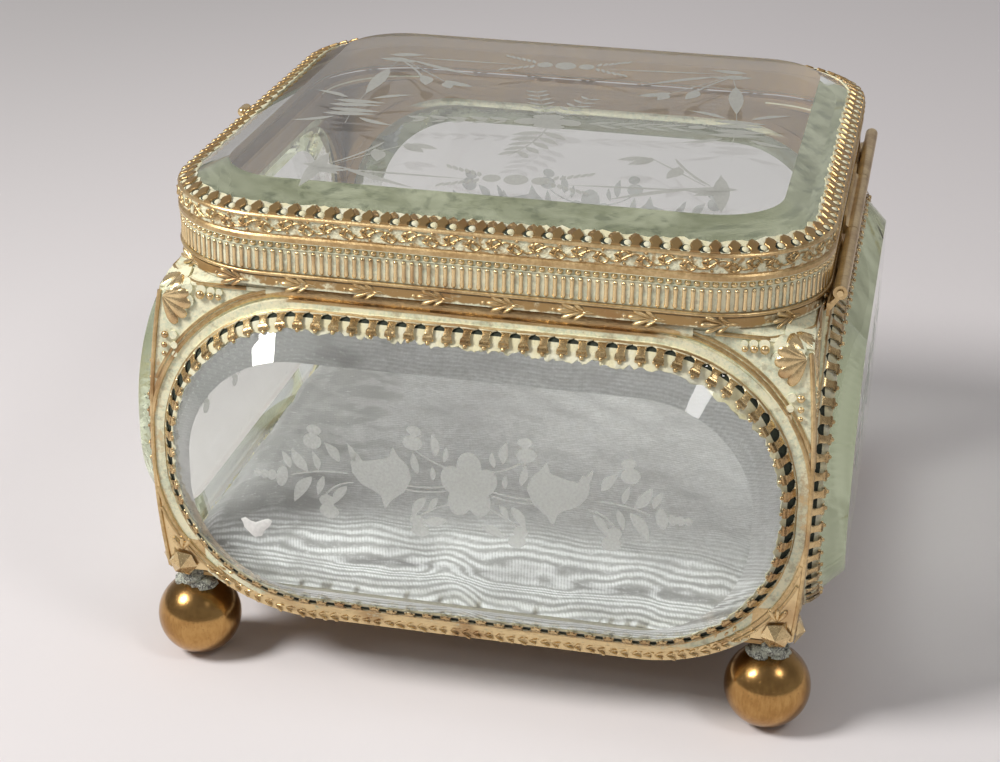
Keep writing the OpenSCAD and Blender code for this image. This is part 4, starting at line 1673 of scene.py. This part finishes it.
# %% Garland on a side pane
BELL = ((-5.9, 0.3), (-5.3, 2.9), (-3.4, 4.9), (-2.4, 6.9), (-1.6, 4.3), (1.2, 3.4), (3.4, 3.0),
        (4.4, 4.9), (5.6, 2.6), (5.3, 0.2), (3.6, -2.2), (0.8, -3.6), (-0.2, -4.6), (-0.9, -7.2),
        (-2.2, -5.0), (-4.6, -2.9))
FLOWER = ((1.0, 6.3, 2.3, 2.9, 0), (-1.9, 3.2, 2.3, 3.0, 20), (4.0, 3.4, 2.2, 2.9, -20),
          (-0.6, -0.7, 2.3, 3.1, -8), (2.9, -0.6, 2.2, 3.0, 8), (1.0, 2.6, 1.6, 1.8, 0))
STEMS = (((4.0, 1.8), (8.0, 0.8), (12.0, 1.2), 0.34), ((4.0, 0.9), (8.0, -0.1), (12.0, 0.3), 0.34),
         ((3.5, 5.6), (7.0, 6.2), (9.8, 8.4), 0.3), ((3.2, -1.8), (6.0, -2.4), (9.0, -4.8), 0.3),
         ((22.6, 2.2), (28.0, 2.6), (33.5, 0.6), 0.34),
         ((21.6, 0.4), (25.0, 0.2), (27.0, -2.8), 0.3))
LEAVES = ((4.6, 6.6, 3.3, 1.1, 98, 0.2), (6.2, 7.6, 4.6, 1.7, 82, 0.3),
          (9.4, 3.6, 4.6, 1.5, 78, -0.2), (6.6, 2.6, 3.0, 1.0, 88, 0.1),
          (5.6, -0.6, 3.6, 1.3, -62, 0.2), (7.8, -0.8, 5.2, 1.9, -58, 0.3),
          (21.2, 4.6, 4.0, 1.2, 70, 0.2), (24.2, 4.4, 4.6, 2.0, 52, 0.3),
          (28.2, 2.2, 3.9, 1.4, 74, 0.2), (30.2, 1.6, 5.6, 2.2, 56, -0.3),
          (33.6, 2.0, 3.8, 1.5, 66, 0.2), (27.2, 1.2, 4.4, 1.4, -74, 0.1),
          (29.4, 0.8, 6.8, 2.3, -58, 0.5), (22.8, -0.4, 5.2, 1.8, -56, 0.3))
BERRIES = ((10.4, 9.9, 1.9, 1.5), (10.1, 12.3, 1.4, 1.0), (29.3, 8.0, 1.8, 1.6),
           (28.9, 10.3, 1.4, 1.0), (26.7, -3.9, 1.5, 1.3), (26.3, -6.0, 1.9, 1.5),
           (35.2, 0.2, 1.1, 2.2), (37.2, 0.2, 0.9, 1.1), (38.6, 0.2, 0.8, 1.0),
           (40.0, 0.3, 0.7, 0.8), (9.6, -5.8, 1.4, 1.2), (9.0, -7.8, 1.7, 1.3))


def bell(x, y, sign):
    """Bell with three points, opening away from the middle flower."""
    return cut([(x + sign * a, y + b * 0.92) for a, b in BELL])


def garland():
    """Flower, two bells, stems, leaves and berries, measured from the pane's middle."""
    cuts = [oval_cut(*spec) for spec in FLOWER] + [bell(17.6, 2.8, 1), bell(-15.6, 2.4, -1)]
    for sign, base in ((1, 1.1), (-1, 0.9)):
        for *spots, width in STEMS:
            cuts.append(line_cut(curve_points(*((base + sign * x, y) for x, y in spots)), width))
        for x, y, length, wide, angle, bend in LEAVES:
            direction = angle if sign > 0 else 180 - angle
            cuts.append(leaf_cut(base + sign * x, y, length, wide, direction, bend * sign))
        for x, y, a, b in BERRIES:
            cuts.append(oval_cut(base + sign * x, y, a, b, 10 * sign))
    cuts += [leaf_cut(-3.0, -5.0, 5.0, 1.9, 190, 0.3), leaf_cut(3.4, -5.4, 5.0, 1.9, -25, 0.3)]
    piece = join(cuts)
    piece.data.transform(Matrix.Translation((0, 0, PANE_FRONT)))
    return piece


four_sides(garland(), "cut_flowers", wheel_cut, 20.0)

# %% [markdown]
# The lid has a larger drawing: a flower in the middle with two feathered leaves, a
# stem in front and a leafy branch on either side, three ovals at the middle of the
# near and far edges, and a spray in each corner whose buds meet a stack of narrow
# leaves at the middle of the other two edges.

# %% Drawing on the lid
LID_TURN = math.radians(4.0)
LID_SHIFT = (0.6, -4.0)
MOTIF_Y = 38.4
STACK_X = 38.4
LID_FLOWER = ((1.4, -2.4, 3.6, 2.6), (-2.6, -2.6, 2.9, 2.0, 20), (5.2, -2.2, 2.9, 2.0, -20),
              (1.0, 0.8, 3.2, 1.7, 5), (1.8, -5.2, 3.2, 1.6, -5))
SPRAY_CORNER = (36.2, 38.0)


def corner_spray(sx, sy):
    """Leaves, blade, club and trefoil from a corner, and the bud along the edge."""
    x, y = sx * SPRAY_CORNER[0], sy * SPRAY_CORNER[1]
    cuts = []

    def at(inward, along):
        return (x - sx * inward, y - sy * along)

    def leaves(*specs):
        """Angles are measured from the inward direction towards the front."""
        for inward, along, length, wide, angle, bend in specs:
            facing = 180 + angle if sx > 0 else -angle
            cuts.append(leaf_cut(*at(inward, along), length, wide, facing, bend))

    leaves((-4.0, 1.4, 8.6, 2.6, 8, 0), (-2.6, -1.8, 8.0, 2.6, -8, 0), (-1.6, 0.2, 6.4, 2.4, 32, 0),
           (3.0, -0.4, 25.0, 0.95, 3, 0), (2.6, 1.4, 19.0, 1.7, 31, -0.5))
    cuts.append(line_cut([at(2.0, 2.4), at(8.0, 10.4), at(13.0, 16.6)], 0.5))
    leaves((12.6, 15.6, 5.6, 2.6, 40, 0), (13.4, 16.8, 6.2, 2.5, 22, 0),
           (12.8, 17.0, 4.8, 2.4, 66, 0))
    cuts.append(line_cut(curve_points(at(1.0, 2.4), at(6.0, 9.0), at(8.4, 17.0)), 0.6))
    leaves((7.4, 12.6, 7.6, 2.9, 76, 0.5))
    cuts.append(line_cut([at(0.2, 2.6), at(-0.6, 9.4)], 0.5))
    leaves((-0.6, 8.6, 20.0, 3.1, 93, 0))
    cuts.append(line_cut([at(-1.6, 27.5), at(-1.9, 33.0)], 0.4))
    return cuts


print("corner spray ready")

# %% [markdown]
# Feathers, tufts, branches and stacks are rows of the same leaf, so each of them
# is a short loop.

# %% Feathers, ovals, branches and stacks
def feather(x, y, angle, length, count):
    """Crosswise lens leaves along a stem, widest in the middle."""
    turn = math.radians(angle)
    cuts = [line_cut([(x, y), (x + length * math.cos(turn), y + length * math.sin(turn))], 0.3)]
    for k in range(count):
        share = (k + 0.7) / count
        u, v = x + length * share * math.cos(turn), y + length * share * math.sin(turn)
        size = 3.6 - 1.6 * abs(share - 0.45)
        for side in (-1, 1):
            cuts.append(leaf_cut(u, v, size, 1.1, angle + side * 56))
    return cuts


def edge_motif(y):
    """Three ovals with a fern tuft on both sides."""
    cuts = [oval_cut(0, y, 2.3, 2.9), oval_cut(-4.5, y, 1.7, 2.1), oval_cut(4.5, y, 1.7, 2.1)]
    for side in (-1, 1):
        for k in range(6):
            for lift in (-1, 1):
                u = side * (6.8 + 1.15 * k)
                v = y + lift * (0.5 + 0.7 * k)
                cuts.append(leaf_cut(u, v, 2.9, 0.95, 90 * lift + side * (12 + 3 * k) * -lift))
    return cuts


def sideways_leaves():
    """The leafy branches to the left and right of the flower."""
    cuts = []
    for k in range(5):
        u, v = 4.0 * k, 0.5 * k
        cuts.append(leaf_cut(-6.2 - u, -2.4 - v, 4.6, 1.9, 172 - 8 * (k % 2), 0.3))
        cuts.append(leaf_cut(-6.8 - u, -3.2 - v, 3.4, 1.3, 222))
    cuts.append(line_cut([(8.0, -2.4), (18.0, -2.2), (29.0, -0.8)], 0.36))
    for k in range(4):
        u, v = 4.6 * k, 0.3 * k
        cuts.append(leaf_cut(9.0 + u, -2.2 + v, 6.4, 1.3, 18, 0.2))
        cuts.append(leaf_cut(11.0 + u, -2.4 + v, 5.4, 1.2, -22, -0.2))
    cuts.append(oval_cut(30.6, -0.5, 1.9, 1.1, 12))
    return cuts


def leaf_stack(sx):
    """Four narrow leaves over one another, and two more at either end."""
    cuts = []
    for k in range(4):
        cuts.append(leaf_cut(sx * STACK_X - 5.4 + 0.5 * (k % 2), (k - 1.5) * 3.0, 10.8, 2.5,
                             3 * (-1) ** k))
    for along in (-1, 1):
        for side in (-1, 1):
            angle = 90 - side * 62 if along > 0 else 270 + side * 62
            cuts.append(leaf_cut(sx * STACK_X + side * 2.4, along * 6.4, 9.0, 1.7, angle,
                                 side * along * 0.6))
    return cuts


print("lid motifs ready")

# %% [markdown]
# The drawing is put together round the middle of the lid, then moved and turned a
# little, because the cutter set it slightly askew.

# %% The whole drawing
def lid_drawing():
    """All cuts of the lid, measured from the middle of the drawing."""
    cuts = [oval_cut(*spec) for spec in LID_FLOWER]
    cuts += feather(0.6, 1.2, 104, 17.5, 6) + feather(2.6, 1.0, 70, 15.0, 5)
    stalk = curve_points((1.6, -6.0), (1.0, -16.0), (-3.4, -25.0), 7)
    cuts.append(line_cut(stalk, 0.36))
    for k, (u, v) in enumerate(stalk[1:-1]):
        for side in (-1, 1):
            cuts.append(leaf_cut(u, v, 6.4 - 0.5 * k, 2.2 - 0.15 * k,
                                 262 + side * (58 - 4 * k), 0.2 * side))
    cuts += sideways_leaves() + edge_motif(-MOTIF_Y) + edge_motif(MOTIF_Y)
    for sx in (-1, 1):
        cuts += leaf_stack(sx) + corner_spray(sx, -1) + corner_spray(sx, 1)
    piece = join(cuts)
    piece.data.transform(Matrix.Translation((*LID_SHIFT, LID_TOP))
                         @ Matrix.Rotation(LID_TURN, 4, "Z"))
    return piece


settle(lid_drawing(), "cut_lid_drawing", shaded_lid_cut, "lid", 20.0)

# %% [markdown]
# A flake of cement has stuck to the front pane, near its lower left.

# %% Flake on the front pane
FLAKE = ((-3.0, 1.6), (-2.2, 2.1), (-1.2, 1.5), (-0.2, 1.2), (0.9, 1.7), (2.3, 2.3), (3.1, 1.9),
         (2.6, 0.7), (1.6, -0.2), (1.0, -1.5), (-0.5, -1.9), (-1.5, -1.0), (-2.4, -0.1),
         (-2.6, 0.8))
FLAKE_X = -39.6
FLAKE_Z = 35.4
flake = cut([(FLAKE_X + x, FLAKE_Z - MID_Z + y) for x, y in FLAKE])
choose(flake)
extrude(0, 0, 0.15)
bpy.ops.mesh.inset(thickness=0.3, depth=0.1)
leave_edit()
flake.data.transform(Matrix.Translation((0, 0, PANE_FRONT)))
flake.data.transform(on_side(0))
white_flake = flat_finish("white_flake", (0.76, 0.75, 0.72, 1.0), (0.66, 0.66, 0.63, 1.0),
                          0.8, 0.8, 0.1)
settle(flake, "cement_flake", white_flake, "body")

# %% [markdown]
# ## The silk cushion
# A ribbed silk is drawn over a thin pad. The pad is a box that is remeshed into even
# faces and then swelled by cloth simulation, so that it crowns and its sides pull
# in. The pulls and pleats along its edges are pressed in afterwards, because the
# remesh would have rounded them off.

# %% Pad
PAD_HALF = 57.3
PAD_LOW = 19.95
PAD_TOP = 28.4
PAD_CORNER = 9.0
PAD_LIMIT = 58.6
PAD_SKIRT = 58.3
SWELL_FRAMES = 20
SWELL_LIMIT = 2.5 * MM


def pad_blank():
    """Box with rounded corners and softened edges, a little smaller than the pad."""
    blank = rounded_plate(PAD_HALF, PAD_HALF, PAD_CORNER, PAD_LOW + 0.6, 8, 6.0)
    choose(blank)
    extrude(0, 0, PAD_TOP - PAD_LOW - 1.2)
    bpy.ops.mesh.inset(thickness=1.6, depth=0.7)
    leave_edit()
    face_outward(blank)
    blank.data.transform(Matrix.Scale(MM, 4))
    remesh = blank.modifiers.new("even", "REMESH")
    remesh.mode = "VOXEL"
    remesh.voxel_size = 2.2 * MM
    return apply_all(blank)


def swell(pad):
    """Cloth under pressure, then each point is held near where it started."""
    rest = [point.co.copy() for point in pad.data.vertices]
    take_up(pad)
    cloth = pad.modifiers.new("silk", "CLOTH")
    settings = cloth.settings
    settings.use_pressure = True
    settings.uniform_pressure_force = 4.0
    settings.effector_weights.gravity = 0.0
    settings.quality = 6
    settings.mass = 0.2
    settings.tension_stiffness = settings.compression_stiffness = 12.0
    settings.bending_stiffness = 0.4
    cloth.point_cache.frame_start = 1
    cloth.point_cache.frame_end = SWELL_FRAMES
    scene = bpy.context.scene
    for number in range(1, SWELL_FRAMES + 1):
        scene.frame_set(number)
    take_up(pad)
    bpy.ops.object.modifier_apply(modifier=cloth.name)
    scene.frame_set(1)
    for point, start in zip(pad.data.vertices, rest):
        moved = point.co - start
        if moved.length > SWELL_LIMIT:
            point.co = start + moved.normalized() * SWELL_LIMIT


print("pad tools ready,", 2 * PAD_HALF, "mm across")

# %% [markdown]
# The folds are pressed in point by point. Ramps say where the top, the near edge,
# the left edge and the skirt are, and each kind of fold is a wave or a slow noise
# that only acts there.

# %% Folds and pulls
PLEAT_PITCH = 5.2
GATHER_PITCH = 4.2
SKIRT_PITCH = 2.6


def pleated(value, pitch):
    """Sine that repeats every pitch."""
    return math.sin(value * 2 * math.pi / pitch)


def slow_noise(*spot):
    """Smooth noise, mostly between -0.5 and 0.5."""
    return noise.noise(Vector(spot))


def press_folds(pad):
    """Flat underside, bundled pleats at the front, gathers on the left and slack pulls."""
    for point in pad.data.vertices:
        x, y, z = (value / MM for value in point.co)
        top = ramp(z, 22.0, 25.0)
        near = ramp(-y, 40.0, 54.0)
        left = ramp(-x, 42.0, 54.0)
        wander = slow_noise(x / 24.0, 3.1, 0.0) * 4.0
        fade = 0.35 + 0.65 * ramp(slow_noise(x / 17.0, 9.2, 1.1), -0.6, 0.4)
        pleat = pleated(y + wander, PLEAT_PITCH) * 0.4 * near * top * fade
        strayed = x + slow_noise(0.0, y / 18.0, 7.7) * 3.0
        gather = pleated(strayed, GATHER_PITCH) * 0.22 * left * top
        slack = slow_noise(x / 24.0, y / 18.0, 1.3) * 1.5 * top
        pull = slow_noise((x + y) / 8.0, (x - y) / 30.0, 4.4) * 0.6 * top
        dent = -1.7 * math.exp(-((x + 4.0 + (y + 57.0) * 0.8) / 3.4) ** 2) * near * top
        z += pleat + gather + slack + pull + dent
        if y < -52.0:
            fold = pleated(z + wander * 0.5, SKIRT_PITCH) * 0.35 * ramp(z, 20.5, 22.0)
            y -= fold * min((-52.0 - y) / 3.0, 1.0) + 0.9
        skirt = ramp(25.5 - z, 0.0, 2.0)
        if abs(x) > 50.0:
            x += (math.copysign(PAD_SKIRT, x) - x) * skirt
        if abs(y) > 50.0:
            y += (math.copysign(PAD_SKIRT, y) - y) * skirt
        x, y = (min(max(value, -PAD_LIMIT), PAD_LIMIT) for value in (x, y))
        point.co = Vector((x, y, PAD_LOW if z < 21.6 else z)) * MM


print("fold tools ready")

# %% [markdown]
# The silk's ribs run across the box and bunch up towards the front, where they are
# drawn in, so the rib pattern follows one warped coordinate. A painted sheen makes
# the crests, broad bands and front lighter, painted glints sit at the front and
# left, and painted shade darkens the creases and the left and back of the cushion.

# %% Silk, and the finished cushion
RIB_PITCH = 0.78
BUNDLED_PITCH = 1.5
BUNDLE_FROM = 42.0
WEFT_PITCH = 0.6


def silk_finish():
    """Ribs across the depth of the box, bundled and wavy where the silk is drawn in."""
    finish = Finish("ribbed_silk")
    x, y, z = finish.place()
    drift = finish.speckle(20.0, 2.0)
    ripple = finish.speckle(6.0, 2.0)
    crease = finish.speckle(8.0, 3.0, 0.5, (1.0, 1.6, 1.0))
    thread = finish.speckle(0.62, 3.0, 0.75, (0.5, 1.0, 1.0))
    front = 1.0 - y.step(-56.0, -43.0)
    left = 1.0 - x.step(-46.0, -22.0)
    side = 1.0 - y.step(-57.8, -56.2)
    tuck = 1.0 - abs(x + 4.0 + (y + 57.0) * 0.8).step(0.0, 9.0)
    along = (y - side * (27.0 - z) + (drift - 0.5) * (front * 6.0 + 2.0)
             + (ripple - 0.5) * (front * 0.7 + 0.25) - tuck * tuck * front * 2.4)
    bundle = (along * -1.0 - BUNDLE_FROM).most(0.0)
    spread = bundle * (1 / RIB_PITCH - 1 / BUNDLED_PITCH)
    rib = ((along / RIB_PITCH + spread) * (2 * math.pi)).wave()
    beat = ((x + along * 0.3) * (2 * math.pi / WEFT_PITCH) + drift * 5.0).wave()
    broad = ((bundle * 0.16 + drift * 1.2) * (2 * math.pi)).wave()
    strong = front * 0.5 + left * 0.1 + 0.13
    # Painted sheen: the crests of the ribs, the broad bands and the front are painted lighter.
    painted_sheen = ((rib - 0.5) * strong * 0.75 + (beat * rib - 0.25) * strong * 0.6
             + (thread - 0.5) * 0.85 + 0.45 + (broad - 0.4) * front * 0.14 + front * 0.05)
    colour = finish.blend(painted_sheen.step(0.0, 1.0), (0.39, 0.39, 0.39, 1.0), (0.95, 0.96, 0.98, 1.0))
    # Painted shade: darker in the creases, and over the left and back of the cushion.
    shade = crease.step(0.44, 0.66) * (left * 0.45 + 0.2) + (left * 0.72 + 0.12) * (1.0 - front)
    colour = finish.blend(shade.least(1.0), colour, (0.30, 0.30, 0.295, 1.0))
    # Painted glints on single threads at the front and left.
    painted_glints = thread.step(0.6, 0.7) * (left + front).least(1.0) * 0.4
    colour = finish.blend(painted_glints, colour, (0.93, 0.94, 0.95, 1.0))
    height = (rib * 0.6 + beat * rib * 0.5) * strong + thread * 0.5 + broad * front * 0.2
    return finish.close(base_color=colour, roughness=0.55 - rib * 0.08, metallic=0.0,
                        normal=finish.bump(height, 0.1))


pad = pad_blank()
swell(pad)
subdivided = pad.modifiers.new("fine", "SUBSURF")
subdivided.levels = subdivided.render_levels = 1
apply_all(pad)
press_folds(pad)
pad.data.transform(Matrix.Scale(1 / MM, 4))
cushion = settle(pad, "silk_cushion", silk_finish(), "body", 180.0)
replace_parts(cushion, "cushion")
print("cushion laid,", len(cushion.data.vertices), "points")

# %% [markdown]
# ## Floor, backdrop and lamps
# The casket stands on a seamless pale sheet that rises a little behind it. Two soft
# lamps stand in front on either side, the left one the stronger.

# %% Floor and backdrop
FLOOR_SIZE = 6.0
FLOOR_SHIFT = 1.2
BACKDROP_LEAN = 0.6
BACKDROP_HIGH = 0.5


def floor_finish():
    """Pale warm paper, darker to the left and behind: a painted falloff of the lamps' light."""
    finish = Finish("studio_sheet")
    x, y = finish.place()[:2]
    # Painted shade: the sheet darkens towards the back and the left.
    painted_falloff = (y * 0.15 - x).step(100.0, 370.0)
    colour = finish.blend(painted_falloff, (0.75, 0.715, 0.72, 1.0), (0.62, 0.595, 0.595, 1.0))
    return finish.close(base_color=colour, roughness=0.9, specular_ior_level=0.1)


floor = fresh(bpy.ops.mesh.primitive_plane_add, size=FLOOR_SIZE, location=(0, FLOOR_SHIFT, 0))
choose(floor, "EDGE", lambda part: all(floor.data.vertices[i].co.y > FLOOR_SIZE / 2
                                       for i in part.vertices))
extrude(0, BACKDROP_LEAN, BACKDROP_HIGH)
leave_edit()
floor.name = "studio_floor"
floor.data.materials.append(floor_finish())
print("floor laid,", FLOOR_SIZE, "m wide")

# %% [markdown]
# The lamps are soft discs. A sharp reflection would show each as a white spot, so
# polished glass sees only a small part of their strength. The room is dim, a
# little brighter through glass, and has a pale wall behind that the lid mirrors.

# %% Lamps and room
LAMP_COLOUR = (1.0, 0.985, 0.965)
LAMP_AIM = Vector((0, 0, 0.05))
HIDDEN_IN_GLASS = 0.94
ROOM_LIGHT = 0.27
ROOM_THROUGH_GLASS = 0.2
PALE_WALL = 0.21


def lamp(name, direction, distance, size, power):
    """A round soft lamp that looks at the casket from this direction."""
    bpy.ops.object.light_add(type="AREA",
                             location=Vector(direction).normalized() * distance + LAMP_AIM)
    light = bpy.context.object
    light.name = name
    light.rotation_euler = (-Vector(direction)).to_track_quat("-Z", "Y").to_euler()
    light.data.shape = "DISK"
    light.data.size = size
    light.data.energy = power
    light.data.color = LAMP_COLOUR
    light.data.use_nodes = True
    inside = Nodes(light.data.node_tree)
    sharp = inside.number("ShaderNodeLightPath", None, None, "Is Singular Ray")
    emission = light.data.node_tree.nodes["Emission"]
    inside.plug(emission.inputs["Strength"], 1.0 - sharp * HIDDEN_IN_GLASS)


lamp("key_lamp", (-0.61, -0.42, 0.67), 1.08, 0.34, 11.1)
lamp("second_lamp", (0.54, -0.36, 0.76), 1.0, 0.25, 1.6)
world = bpy.data.worlds.new("room")
bpy.context.scene.world = world
world.use_nodes = True
room = Nodes(world.node_tree)
rays = room.node("ShaderNodeLightPath").outputs
through, mirrored = (Term(room, rays[name]) for name in ("Is Transmission Ray", "Is Glossy Ray"))
aim = room.node("ShaderNodeTexCoord").outputs["Generated"]
ahead = room.number("ShaderNodeSeparateXYZ", None, {0: aim}, "Y")
wall = room.number("ShaderNodeMapRange", None, {"Value": ahead, "From Min": 0.2, "From Max": 0.75})
sky = world.node_tree.nodes["Background"].inputs
sky["Color"].default_value = (0.96, 0.95, 0.96, 1.0)
room.plug(sky["Strength"],
          through * ROOM_THROUGH_GLASS + ROOM_LIGHT + wall * mirrored * PALE_WALL)
bpy.context.scene.view_settings.view_transform = "Standard"
print("two lamps and the room lit")

# %% [markdown]
# Here the scene ends.

# %% End of the scene
print("scene built")
